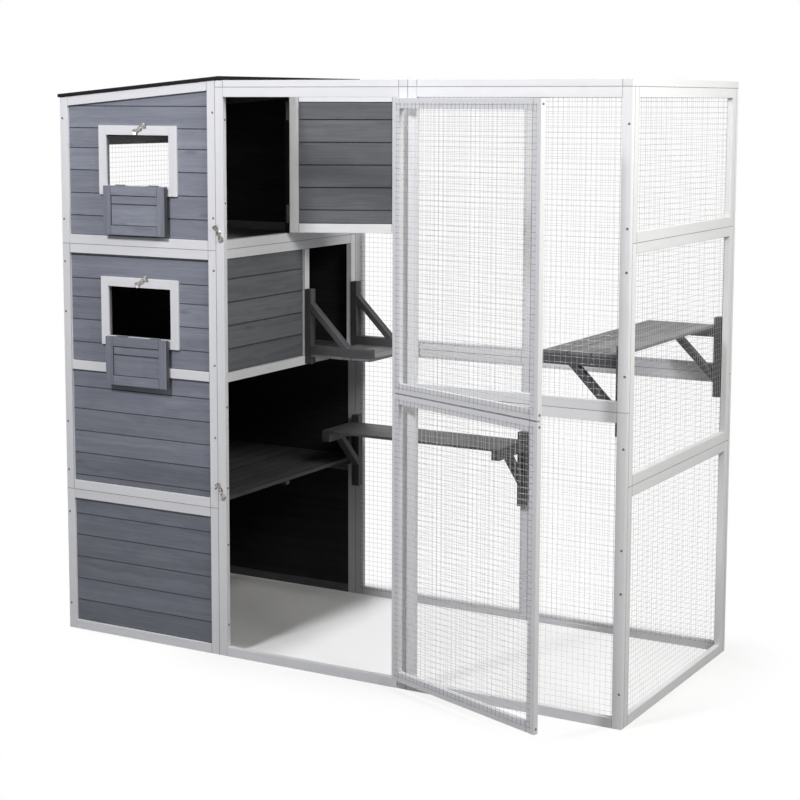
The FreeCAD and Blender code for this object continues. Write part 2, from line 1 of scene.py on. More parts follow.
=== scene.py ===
"""Looks of an outdoor cat enclosure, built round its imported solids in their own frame.

Strips and boards get eased edges, grain and stain, the mesh panels get their wires and staples,
screws and turn latches are modelled, and hinges and felt get their finishes.  Metres, Z up.
"""
import json
import logging
import math
import random
from dataclasses import dataclass
from enum import Enum
from typing import ClassVar, Iterable, Optional, Sequence, Union

import bmesh
import bpy
from mathutils import Matrix, Vector
from mathutils.bvhtree import BVHTree

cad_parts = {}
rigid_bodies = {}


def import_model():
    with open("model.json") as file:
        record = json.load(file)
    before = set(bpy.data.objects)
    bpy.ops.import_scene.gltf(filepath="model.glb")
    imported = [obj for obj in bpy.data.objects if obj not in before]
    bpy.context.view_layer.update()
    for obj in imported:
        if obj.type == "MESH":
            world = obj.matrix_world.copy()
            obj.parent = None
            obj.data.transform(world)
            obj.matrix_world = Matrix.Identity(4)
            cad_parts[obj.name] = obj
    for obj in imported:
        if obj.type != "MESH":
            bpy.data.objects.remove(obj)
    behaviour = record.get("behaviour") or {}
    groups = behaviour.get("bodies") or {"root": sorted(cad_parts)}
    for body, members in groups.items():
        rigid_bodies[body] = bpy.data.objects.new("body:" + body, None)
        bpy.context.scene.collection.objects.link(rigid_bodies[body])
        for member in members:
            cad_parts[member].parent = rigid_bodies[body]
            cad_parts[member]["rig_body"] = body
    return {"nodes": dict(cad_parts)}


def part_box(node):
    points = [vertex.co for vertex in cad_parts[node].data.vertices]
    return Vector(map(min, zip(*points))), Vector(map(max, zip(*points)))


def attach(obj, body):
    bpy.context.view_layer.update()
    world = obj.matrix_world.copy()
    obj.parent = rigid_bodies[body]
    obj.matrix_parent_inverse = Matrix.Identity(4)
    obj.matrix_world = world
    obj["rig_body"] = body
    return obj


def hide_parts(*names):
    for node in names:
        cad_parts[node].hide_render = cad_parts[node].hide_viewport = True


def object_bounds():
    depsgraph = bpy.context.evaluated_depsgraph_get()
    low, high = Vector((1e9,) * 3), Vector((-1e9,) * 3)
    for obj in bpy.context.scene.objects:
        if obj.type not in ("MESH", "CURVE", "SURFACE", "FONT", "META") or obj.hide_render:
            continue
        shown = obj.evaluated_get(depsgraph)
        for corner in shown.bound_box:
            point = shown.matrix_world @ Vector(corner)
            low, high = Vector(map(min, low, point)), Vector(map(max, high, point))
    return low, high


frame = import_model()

LOG = logging.getLogger("cat_enclosure")
CAD_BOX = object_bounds()
MM = 0.001
MESH_DOORS = ("upper_door", "lower_door")
# Middle of a noise's range, digits to which corners are merged, and the cosine from which a side
# counts as looking one way
NOISE_MIDDLE = 0.5
MERGE_DIGITS = 7
FACING = 0.5
# Arms of a cross recess, how far the corners between them are drawn in, and half the width of an
# arm as a share of the way to the next one
CROSS_ARMS = 4
CROSS_WAIST = 0.4
CROSS_ARM_WIDTH = 0.1
Colour = tuple[float, float, float]
Rectangle = tuple[tuple[float, float, float], tuple[float, float, float]]
WHITE: Colour = (1.0, 1.0, 1.0)


# Shader maths


class Signal:
    """One output of a shader node; Python's operators on it add the nodes that they need."""

    def __init__(self, graph: "NodeGraph", socket: bpy.types.NodeSocket) -> None:
        """Keep the socket and the graph that it belongs to."""
        self.graph = graph
        self.socket = socket

    @property
    def is_vector(self) -> bool:
        """Whether the output holds a vector or a colour."""
        return self.socket.type in {"VECTOR", "RGBA"}

    def combine(self, operation: str, first: "Value", second: "Value") -> "Signal":
        """Join two values by a Math node, or by Vector Math where one is a vector.

        Args:
            operation: Name of the node's operation.
            first: Left value.
            second: Right value.

        Returns:
            The output of the new node.
        """
        settings = {"operation": operation}
        vectors = [isinstance(v, Signal) and v.is_vector for v in (first, second)]
        if not any(vectors):
            return self.graph.node("Math", settings, {0: first, 1: second})
        if operation == "MULTIPLY" and not all(vectors):
            vector, number = (first, second) if vectors[0] else (second, first)
            settings = {"operation": "SCALE"}
            return self.graph.node("VectorMath", settings, {0: vector, "Scale": number})
        sides = [(v,) * 3 if isinstance(v, (int, float)) else v for v in (first, second)]
        return self.graph.node("VectorMath", settings, dict(enumerate(sides)))

    def __add__(self, other: "Value") -> "Signal":
        """Sum."""
        return self.combine("ADD", self, other)

    def __radd__(self, other: "Value") -> "Signal":
        """Reflected sum."""
        return self.combine("ADD", other, self)

    def __sub__(self, other: "Value") -> "Signal":
        """Difference."""
        return self.combine("SUBTRACT", self, other)

    def __rsub__(self, other: "Value") -> "Signal":
        """Reflected difference."""
        return self.combine("SUBTRACT", other, self)

    def __mul__(self, other: "Value") -> "Signal":
        """Product."""
        return self.combine("MULTIPLY", self, other)

    def __rmul__(self, other: "Value") -> "Signal":
        """Reflected product."""
        return self.combine("MULTIPLY", other, self)

    def above(self, level: float, softness: float) -> "Signal":
        """Smooth step from 0 to 1 round a level."""
        return self.graph.node(
            "MapRange",
            {"interpolation_type": "SMOOTHSTEP"},
            {0: self, 1: level - softness, 2: level + softness, 3: 0.0, 4: 1.0},
        )


Value = Union[Signal, float, int, tuple]


class NodeGraph:
    """Node tree of a material or of the world, filled through one method."""

    def __init__(self, tree: bpy.types.NodeTree) -> None:
        """Empty the tree."""
        self.tree = tree
        tree.nodes.clear()

    def node(
        self,
        kind: str,
        settings: Optional[dict] = None,
        values: Optional[dict] = None,
        output: Union[int, str] = 0,
    ) -> Signal:
        """Add a node.

        Args:
            kind: Node type without its common prefix.
            settings: Properties of the node, set first.
            values: Numbers, colours or signals for its inputs, by index or name.
            output: Which output to return.

        Returns:
            That output as a signal.
        """
        made = self.tree.nodes.new("ShaderNode" + kind)
        for name, setting in (settings or {}).items():
            setattr(made, name, setting)
        for name, value in (values or {}).items():
            if isinstance(value, Signal):
                self.tree.links.new(value.socket, made.inputs[name])
            elif isinstance(value, tuple) and made.inputs[name].type == "RGBA":
                made.inputs[name].default_value = (*value[:3], 1.0)
            else:
                made.inputs[name].default_value = value
        return Signal(self, made.outputs[output] if made.outputs else None)

    def place(self) -> Signal:
        """Object coordinates."""
        return self.node("TexCoord", None, None, "Object")

    def attribute(self, name: str, output: str = "Fac") -> Signal:
        """Attribute of the piece's own mesh."""
        return self.node("Attribute", {"attribute_name": name}, None, output)

    def drawn_out(self, place: Signal, axis: Signal, across: float, along: float) -> Signal:
        """Scale places across an axis and along it.

        Args:
            place: Places to scale.
            axis: Direction of unit length.
            across: Scale across the axis.
            along: Scale along the axis.

        Returns:
            The scaled places.
        """
        settings = {"operation": "DOT_PRODUCT"}
        run = self.node("VectorMath", settings, {0: place, 1: axis}, "Value")
        return place * across - axis * (run * (across - along))

    def noise(
        self, vector: Signal, scale: float = 1.0, detail: float = 3.0, rough: float = 0.55
    ) -> Signal:
        """Noise value between 0 and 1 over a vector."""
        values = {"Vector": vector, "Scale": scale, "Detail": detail, "Roughness": rough}
        return self.node("TexNoise", None, values)

    def cells(self, vector: Signal, scale: float = 1.0) -> Signal:
        """Distance to the nearest of many scattered points."""
        values = {"Vector": vector, "Scale": scale}
        return self.node("TexVoronoi", {"feature": "F1"}, values, "Distance")

    def mix(self, factor: Value, first: Value, second: Value) -> Signal:
        """Mix two colours by a factor."""
        return self.node("Mix", {"data_type": "RGBA"}, {0: factor, 6: first, 7: second}, 2)

    def bump(self, strength: float, depth: float, height: Signal) -> Signal:
        """Normal of a surface in relief."""
        values = {"Strength": strength, "Distance": depth, "Height": height}
        return self.node("Bump", None, values)

    def surface(self, values: dict) -> None:
        """End the graph in a Principled shader with these inputs."""
        shader = self.node("BsdfPrincipled", None, values)
        self.node("OutputMaterial", None, {"Surface": shader})


def new_material(name: str) -> tuple[bpy.types.Material, NodeGraph]:
    """Make an empty node material.

    Args:
        name: Name of the finish.

    Returns:
        The material and its graph.
    """
    material = bpy.data.materials.new(name)
    material.use_nodes = True
    return material, NodeGraph(material.node_tree)


# Finishes


@dataclass(frozen=True)
class TimberFinish:
    """Paint or stain on softwood, with grain along each strip."""

    name: str
    slot: str
    pale: Colour
    deep: Colour
    edge: Colour
    edge_cover: float
    edge_least: float = 0.7
    edge_spread: float = 0.6
    edge_scale: float = 60.0
    tone_spread: float = 0.12
    streak: float = 0.6
    streak_reach: float = 0.4
    roughness: float = 0.6
    rough_spread: float = 0.08
    relief: float = 0.25
    relief_depth: float = 0.6 * MM
    broad_relief: float = 0.5
    specular: float = 0.35
    # How much darker the wood is made at the bottom, and the height at which that is half gone; it
    # is gone at twice that height
    soil: float = 0.03
    soil_height: float = 0.16
    grain_across: float = 260.0
    grain_along: float = 5.0
    strip_shift: tuple[float, float, float] = (19.0, 47.0, 31.0)
    soft_detail: float = 2.0
    bend_scale: float = 7.0
    bend_reach: float = 1.6
    broad_scale: float = 0.16
    fine_detail: float = 5.0
    fine_rough: float = 0.62
    hair_scale: float = 2.6
    hair_rough: float = 0.5
    cloud_scale: float = 3.0
    broad_share: float = 0.45
    fine_share: float = 0.4
    hair_share: float = 0.15
    knots: float = 0.0
    knot_across: float = 13.0
    knot_along: float = 3.5
    knot_size: float = 0.085
    knot_fade: float = 0.05
    knot_depth: float = 0.35

    def make(self) -> bpy.types.Material:
        """Build the material, with its grain along the attribute that each strip carries."""
        material, graph = new_material(self.name)
        place = graph.place()
        axis = graph.attribute("grain", "Vector")
        tone = graph.attribute("tone")
        shifts = {number: tone * shift for number, shift in enumerate(self.strip_shift)}
        own = graph.node("CombineXYZ", None, shifts)
        fibres = graph.drawn_out(place, axis, self.grain_across, self.grain_along) + own
        bend = graph.noise(place * self.bend_scale + own, detail=self.soft_detail)
        streaks = fibres * self.broad_scale + bend * self.bend_reach
        broad = graph.noise(streaks, detail=self.soft_detail)
        fine = graph.noise(fibres, detail=self.fine_detail, rough=self.fine_rough)
        hairs = fibres * self.hair_scale
        hair = graph.noise(hairs, detail=self.soft_detail, rough=self.hair_rough)
        grain = broad * self.broad_share + fine * self.fine_share + hair * self.hair_share
        shade = grain.above(NOISE_MIDDLE, NOISE_MIDDLE - self.streak_reach * self.streak)
        cloud = graph.noise(place * self.cloud_scale + own)
        light = self.clean(graph, place) - self.tone_spread * (tone + cloud - 1.0)
        colour = graph.mix(shade, self.pale, self.deep) * light
        if self.knots:
            spread = graph.drawn_out(place, axis, self.knot_across, self.knot_along) + own
            dark = tuple(channel * self.knot_depth for channel in self.deep)
            colour = graph.mix(self.knot(graph, spread), colour, dark)
        relief = fine + broad * self.broad_relief
        graph.surface(
            {
                "Base Color": graph.mix(self.wear(graph, place), colour, self.edge),
                "Roughness": self.roughness - self.rough_spread + shade * (2 * self.rough_spread),
                "Normal": graph.bump(self.relief, self.relief_depth, relief),
                "Specular IOR Level": self.specular,
            }
        )
        return material

    def clean(self, graph: NodeGraph, place: Signal) -> Signal:
        """Share of the colour left where the wood is made darker towards the bottom, fading out
        above a height.
        """
        height = graph.node("SeparateXYZ", None, {0: place}, "Z")
        return 1.0 - self.soil + height.above(self.soil_height, self.soil_height) * self.soil

    def knot(self, graph: NodeGraph, spread: Signal) -> Signal:
        """Cover of the knots, over places that are drawn out along the grain."""
        return (1.0 - graph.cells(spread).above(self.knot_size, self.knot_fade)) * self.knots

    def wear(self, graph: NodeGraph, place: Signal) -> Signal:
        """Cover of the dark lines in patches: painted shade on the seams where strips meet, and wear
        on the free eased edges.
        """
        patches = graph.noise(place, self.edge_scale, self.soft_detail)
        patchy = patches * (self.edge_cover * self.edge_spread)
        return graph.attribute("edge") * (self.edge_cover * self.edge_least + patchy)


@dataclass(frozen=True)
class MetalFinish:
    """Bare or plated metal with a blotched surface."""

    name: str
    slot: str
    pale: Colour
    deep: Colour
    roughness: float
    rough_spread: float = 0.06
    blotch: float = 220.0
    broad_scale: float = 0.06
    broad_detail: float = 2.0
    spot_share: float = 0.6
    broad_share: float = 0.4
    softness: float = 0.22
    relief: float = 0.15
    relief_depth: float = 0.2 * MM

    def make(self) -> bpy.types.Material:
        """Build the material."""
        material, graph = new_material(self.name)
        place = graph.place()
        spots = graph.noise(place, self.blotch)
        broad = graph.noise(place, self.blotch * self.broad_scale, self.broad_detail)
        blend = spots * self.spot_share + broad * self.broad_share
        shade = blend.above(NOISE_MIDDLE, self.softness)
        graph.surface(
            {
                "Base Color": graph.mix(shade, self.pale, self.deep),
                "Metallic": 1.0,
                "Roughness": self.roughness - self.rough_spread + shade * (2 * self.rough_spread),
                "Normal": graph.bump(self.relief, self.relief_depth, spots),
            }
        )
        return material


@dataclass(frozen=True)
class FeltFinish:
    """Mineral roofing felt: black, matt and gritty."""

    name: str = "mineral_felt"
    slot: str = "roof_felt"
    pale: Colour = (0.024, 0.024, 0.025)
    deep: Colour = (0.006, 0.006, 0.0065)
    grit: float = 620.0
    grit_share: float = 0.8
    cloud_scale: float = 9.0
    cloud_share: float = 0.5
    level: float = 0.55
    softness: float = 0.4
    roughness: float = 0.82
    rough_spread: float = 0.12
    relief: float = 0.55
    relief_depth: float = 0.8 * MM
    cloud_relief: float = 0.6
    specular: float = 0.12

    def make(self) -> bpy.types.Material:
        """Build the material."""
        material, graph = new_material(self.name)
        place = graph.place()
        grains = graph.cells(place, self.grit)
        cloud = graph.noise(place, self.cloud_scale)
        blend = grains * self.grit_share + cloud * self.cloud_share
        shade = blend.above(self.level, self.softness)
        relief = 1.0 - grains + cloud * self.cloud_relief
        graph.surface(
            {
                "Base Color": graph.mix(shade, self.deep, self.pale),
                "Roughness": self.roughness + cloud * self.rough_spread,
                "Normal": graph.bump(self.relief, self.relief_depth, relief),
                "Specular IOR Level": self.specular,
            }
        )
        return material


class Finish(Enum):
    """Finishes of the enclosure, each made once."""

    WHITE_PAINT = TimberFinish(
        "white_paint", "white_frames",
        (0.9, 0.905, 0.92), (0.81, 0.815, 0.835), (0.17, 0.165, 0.155), edge_cover=0.85,
        tone_spread=0.07, streak=0.45, roughness=0.52, relief=0.2,
    )
    TRIM_PAINT = TimberFinish(
        "trim_paint", "white_frames",
        (0.9, 0.905, 0.92), (0.81, 0.815, 0.835), (0.5, 0.495, 0.485), edge_cover=0.25,
        tone_spread=0.04, streak=0.45, roughness=0.52, relief=0.2,
    )
    # The grey boards are made much darker towards the bottom, fading out up to 1.6 m
    GREY_STAIN = TimberFinish(
        "grey_stain", "grey_boards",
        (0.3, 0.318, 0.37), (0.193, 0.206, 0.248), (0.04, 0.042, 0.048), edge_cover=0.85,
        tone_spread=0.2, streak=0.7, relief=0.35, knots=0.35, soil=0.27, soil_height=0.8,
    )
    # Darker, more neutral copy of the grey stain: partly the boards' own stain, partly painted shade
    # inside the run; also painted shade on the back wall's rails
    RUN_STAIN = TimberFinish(
        "run_stain", "grey_boards",
        (0.163, 0.171, 0.185), (0.103, 0.109, 0.119), (0.022, 0.022, 0.024), edge_cover=0.85,
        tone_spread=0.18, streak=0.7, relief=0.35, knots=0.3,
    )
    # Nearly black: partly a dark stain on the tower's inner boards, partly painted shade of the
    # tower's interior; also painted shade on white frame faces and the roof panel
    INSIDE_STAIN = TimberFinish(
        "inside_stain", "grey_boards",
        (0.046, 0.046, 0.047), (0.024, 0.024, 0.025), (0.01, 0.01, 0.01), edge_cover=0.8,
        tone_spread=0.2, roughness=0.75, relief=0.3, specular=0.06,
    )
    SHELF_STAIN = TimberFinish(
        "shelf_stain", "dark_wood",
        (0.25, 0.25, 0.255), (0.12, 0.12, 0.125), (0.06, 0.06, 0.062), edge_cover=0.4,
        tone_spread=0.16, streak=0.8, roughness=0.62, relief=0.4, knots=0.4,
    )
    FLOOR_STAIN = TimberFinish(
        "floor_stain", "dark_wood",
        (0.092, 0.092, 0.095), (0.045, 0.045, 0.047), (0.025, 0.025, 0.026), edge_cover=0.6,
        tone_spread=0.16, streak=0.8, roughness=0.68, relief=0.4, knots=0.4, specular=0.15,
    )
    # Dark stain of the brackets, battens and back shelf, also used as painted shade on the shutters'
    # right sides
    BRACKET_STAIN = TimberFinish(
        "bracket_stain", "dark_wood",
        (0.09, 0.09, 0.094), (0.047, 0.047, 0.05), (0.14, 0.14, 0.14), edge_cover=0.25,
        tone_spread=0.18, streak=0.7, roughness=0.62, relief=0.35,
    )
    ROOF_FELT = FeltFinish()
    # One galvanised wire in two tones: uprights paler and level wires darker, painted light and
    # shade for how each catches the lamps
    UPRIGHT_WIRE = MetalFinish(
        "upright_wire", "mesh", (0.62, 0.62, 0.625), (0.48, 0.48, 0.49), roughness=0.45
    )
    LEVEL_WIRE = MetalFinish(
        "level_wire", "mesh", (0.42, 0.42, 0.425), (0.3, 0.3, 0.305), roughness=0.45
    )
    # Dark ends of the wires over the strips: painted shade of the shadows that the wires cast there
    WIRE_END = MetalFinish(
        "wire_end", "mesh", (0.2, 0.2, 0.205), (0.12, 0.12, 0.125), roughness=0.5
    )
    STAPLE = MetalFinish(
        "bright_staple", "mesh", (0.82, 0.82, 0.82), (0.66, 0.66, 0.67), roughness=0.28
    )
    SCREW = MetalFinish(
        "dark_screw", "hinge_steel", (0.15, 0.145, 0.135), (0.06, 0.06, 0.055), roughness=0.42
    )
    HINGE = MetalFinish(
        "hinge_plate", "hinge_steel", (0.33, 0.33, 0.335), (0.18, 0.18, 0.185), roughness=0.38
    )
    LATCH = MetalFinish(
        "latch_nickel", "latch_metal", (0.6, 0.57, 0.53), (0.045, 0.04, 0.036), roughness=0.2,
        blotch=150.0,
    )

    @property
    def material(self) -> bpy.types.Material:
        """The finish's material, made at its first use."""
        return bpy.data.materials.get(self.value.name) or self.value.make()


# Modelling helpers


def object_mode() -> None:
    """Leave edit mode."""
    bpy.ops.object.mode_set(mode="OBJECT")


def edit_mode() -> None:
    """Enter edit mode."""
    bpy.ops.object.mode_set(mode="EDIT")


def deselect_all() -> None:
    """Leave nothing selected."""
    if bpy.context.object and bpy.context.object.mode != "OBJECT":
        object_mode()
    bpy.ops.object.select_all(action="DESELECT")


def activate(piece: bpy.types.Object) -> None:
    """Make one piece the only selected and active one."""
    deselect_all()
    piece.select_set(True)
    bpy.context.view_layer.objects.active = piece


def select_only(piece: bpy.types.Object, faces: Iterable[int]) -> None:
    """Go to edit mode with only some faces selected.

    Args:
        piece: Piece to work on.
        faces: Indices of the faces.
    """
    activate(piece)
    edit_mode()
    bpy.ops.mesh.select_mode(type="FACE")
    bpy.ops.mesh.select_all(action="DESELECT")
    object_mode()
    for index in faces:
        piece.data.polygons[index].select = True
    edit_mode()


def select_facing(piece: bpy.types.Object, towards: Vector, cosine: float = 0.9) -> None:
    """Go to edit mode with only those faces selected that look in one direction.

    Args:
        piece: Piece to work on.
        towards: Direction, of unit length.
        cosine: Least cosine of the angle between a face's normal and the direction.
    """
    activate(piece)
    faces = piece.data.polygons
    select_only(piece, [face.index for face in faces if face.normal.dot(towards) > cosine])


def extrude(shift: Sequence[float], resize: Optional[Sequence[float]] = None) -> None:
    """Draw the selected faces out by a shift, and then resize them."""
    bpy.ops.mesh.extrude_region_move(TRANSFORM_OT_translate={"value": shift})
    if resize:
        bpy.ops.transform.resize(value=resize)


def inset_and_lift(thickness: float, lift: float) -> None:
    """Inset the selected faces and move what is left along Z."""
    bpy.ops.mesh.inset(thickness=thickness)
    bpy.ops.transform.translate(value=(0, 0, lift))


def add_cylinder(
    sides: int, radius: float, low: float, high: float, tilt: float = 0.0
) -> bpy.types.Object:
    """Add a cylinder between two heights.

    Args:
        sides: Number of its sides.
        radius: Radius of its corners.
        low: Height of its foot.
        high: Height of its top.
        tilt: Turn about X.

    Returns:
        The cylinder, with its place in its mesh.
    """
    deselect_all()
    bpy.ops.mesh.primitive_cylinder_add(
        vertices=sides, radius=radius, depth=high - low,
        location=(0, 0, (low + high) / 2), rotation=(tilt, 0, 0),
    )
    bpy.ops.object.transform_apply(location=True, rotation=True, scale=True)
    return bpy.context.object


def link_mesh(name: str, points: Sequence, faces: Sequence) -> bpy.types.Object:
    """Add a mesh object from points and faces."""
    mesh = bpy.data.meshes.new(name)
    mesh.from_pydata([tuple(p) for p in points], [], faces)
    piece = bpy.data.objects.new(name, mesh)
    bpy.context.scene.collection.objects.link(piece)
    return piece


def apply_modifier(piece: bpy.types.Object, kind: str, **settings: object) -> None:
    """Add a modifier with its settings and apply it."""
    modifier = piece.modifiers.new(kind.lower(), kind)
    for name, value in settings.items():
        setattr(modifier, name, value)
    activate(piece)
    bpy.ops.object.modifier_apply(modifier=modifier.name)


def join_pieces(pieces: Sequence[bpy.types.Object], name: str) -> bpy.types.Object:
    """Join pieces into the first one and name it."""
    deselect_all()
    for piece in pieces:
        piece.select_set(True)
    bpy.context.view_layer.objects.active = pieces[0]
    bpy.ops.object.join()
    pieces[0].name = name
    pieces[0].data.name = name
    return pieces[0]


def place_copies(
    model: bpy.types.Object, places: Iterable[Matrix], name: str
) -> bpy.types.Object:
    """Copy a model to many places, each copy with its own mesh, and remove the model.

    Args:
        model: Object that is modelled once, at the origin.
        places: Where each copy goes.
        name: Name of the piece that holds the copies.

    Returns:
        The piece, at the origin.
    """
    whole = bmesh.new()
    for place in places:
        copy = model.data.copy()
        copy.transform(place)
        whole.from_mesh(copy)
        bpy.data.meshes.remove(copy)
    piece = link_mesh(name, [], [])
    whole.to_mesh(piece.data)
    whole.free()
    bpy.data.objects.remove(model)
    return piece


def hand_over(piece: bpy.types.Object, finish: Finish, body: str, *nodes: str) -> None:
    """Finish a piece, let it ride on its body and let it stand for its nodes.

    Args:
        piece: Piece, which keeps the materials that it already has.
        finish: Its main finish.
        body: Body that carries it.
        nodes: Nodes that it replaces.
    """
    if not piece.data.materials:
        piece.data.materials.append(finish.material)
    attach(piece, body)
    if nodes:
        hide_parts(*nodes)
    LOG.info("%s rides on %s with %d faces", piece.name, body, len(piece.data.polygons))


def body_of(node: str) -> str:
    """Body that a solid's node belongs to."""
    return frame["nodes"][node]["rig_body"]


def closed_solids(node: str) -> list[tuple[list[tuple], list[list[int]]]]:
    """Split a node's loose triangles into its solids, which follow one another in the mesh.

    Args:
        node: Name of the node.

    Returns:
        Points and faces of each solid, with its corners merged.
    """
    mesh = frame["nodes"][node].data
    solids = []
    points: dict[tuple, int] = {}
    faces: list[list[int]] = []
    unmatched: set[tuple[int, int]] = set()
    for polygon in mesh.polygons:
        places = (mesh.vertices[corner].co for corner in polygon.vertices)
        keys = [tuple(round(c, MERGE_DIGITS) for c in place) for place in places]
        corners = [points.setdefault(key, len(points)) for key in keys]
        faces.append(corners)
        for pair in zip(corners, corners[1:] + corners[:1]):
            if pair[::-1] in unmatched:
                unmatched.remove(pair[::-1])
            else:
                unmatched.add(pair)
        if not unmatched:
            solids.append((list(points), faces))
            points, faces = {}, []
    return solids


def merged_solids(
    nodes: Iterable[str],
) -> tuple[list[tuple], list[list[int]], list[tuple[str, int]]]:
    """Put the solids of some nodes in one list of points and faces.

    Args:
        nodes: Names of the nodes.

    Returns:
        The points, the faces, and the node and number of the solid that owns each face.
    """
    points: list[tuple] = []
    faces: list[list[int]] = []
    owners: list[tuple[str, int]] = []
    for node in nodes:
        for number, (corners, sides) in enumerate(closed_solids(node)):
            faces += [[len(points) + corner for corner in side] for side in sides]
            points += corners
            owners += [(node, number)] * len(sides)
    return points, faces, owners


def middle_of(places: Iterable[Sequence[float]]) -> Vector:
    """Middle of the box round some places."""
    return Vector([(min(span) + max(span)) / 2 for span in zip(*places)])


@dataclass(frozen=True)
class Slab:
    """A thin flat solid in its own directions: along, up and through."""

    axes: tuple[Vector, Vector, Vector]
    low: Vector
    high: Vector

    @classmethod
    def of(cls, points: Sequence[tuple], faces: Sequence[Sequence[int]], inner: Vector) -> "Slab":
        """Measure a slab from its points, with its third direction towards a point inside.

        Args:
            points: Corners of the solid.
            faces: Its triangles, as indices of corners.
            inner: Point on the side that the third direction looks to.

        Returns:
            The slab.
        """
        corners = [Vector(p) for p in points]
        crosses = [
            (corners[b] - corners[a]).cross(corners[c] - corners[a]) for a, b, c in faces
        ]
        normal = max(crosses, key=lambda cross: cross.length).normalized()
        up = Vector((0, 0, 1)) if abs(normal.z) < FACING else Vector((0, 1, 0))
        centre = sum(corners, Vector()) / len(corners)
        through = normal if normal.dot(inner - centre) > 0 else -normal
        axes = (up.cross(through), up, through)
        spans = [[corner.dot(axis) for corner in corners] for axis in axes]
        return cls(axes, Vector(map(min, spans)), Vector(map(max, spans)))

    def matrix(self, along: float, up: float, through: float) -> Matrix:
        """Placement whose origin lies at these distances in the slab's directions."""
        origin = self.axes[0] * along + self.axes[1] * up + self.axes[2] * through
        return Matrix.Translation(origin) @ Matrix(self.axes).transposed().to_4x4()


# Timber


class Seams:
    """Finds where one strip lies against another, from the solids of all timber."""

    REACH = 3.2 * MM

    def __init__(self, nodes: Iterable[str]) -> None:
        """Put every triangle of the nodes in one search tree, with the solid that owns it."""
        points, faces, self.owners = merged_solids(nodes)
        self.tree = BVHTree.FromPolygons(points, faces)

    def near(self, place: Vector, owner: tuple[str, int]) -> bool:
        """Whether another solid than the owner comes close to a place."""
        found = self.tree.find_nearest_range(place, self.REACH)
        return any(self.owners[index] != owner for _, _, index, _ in found)


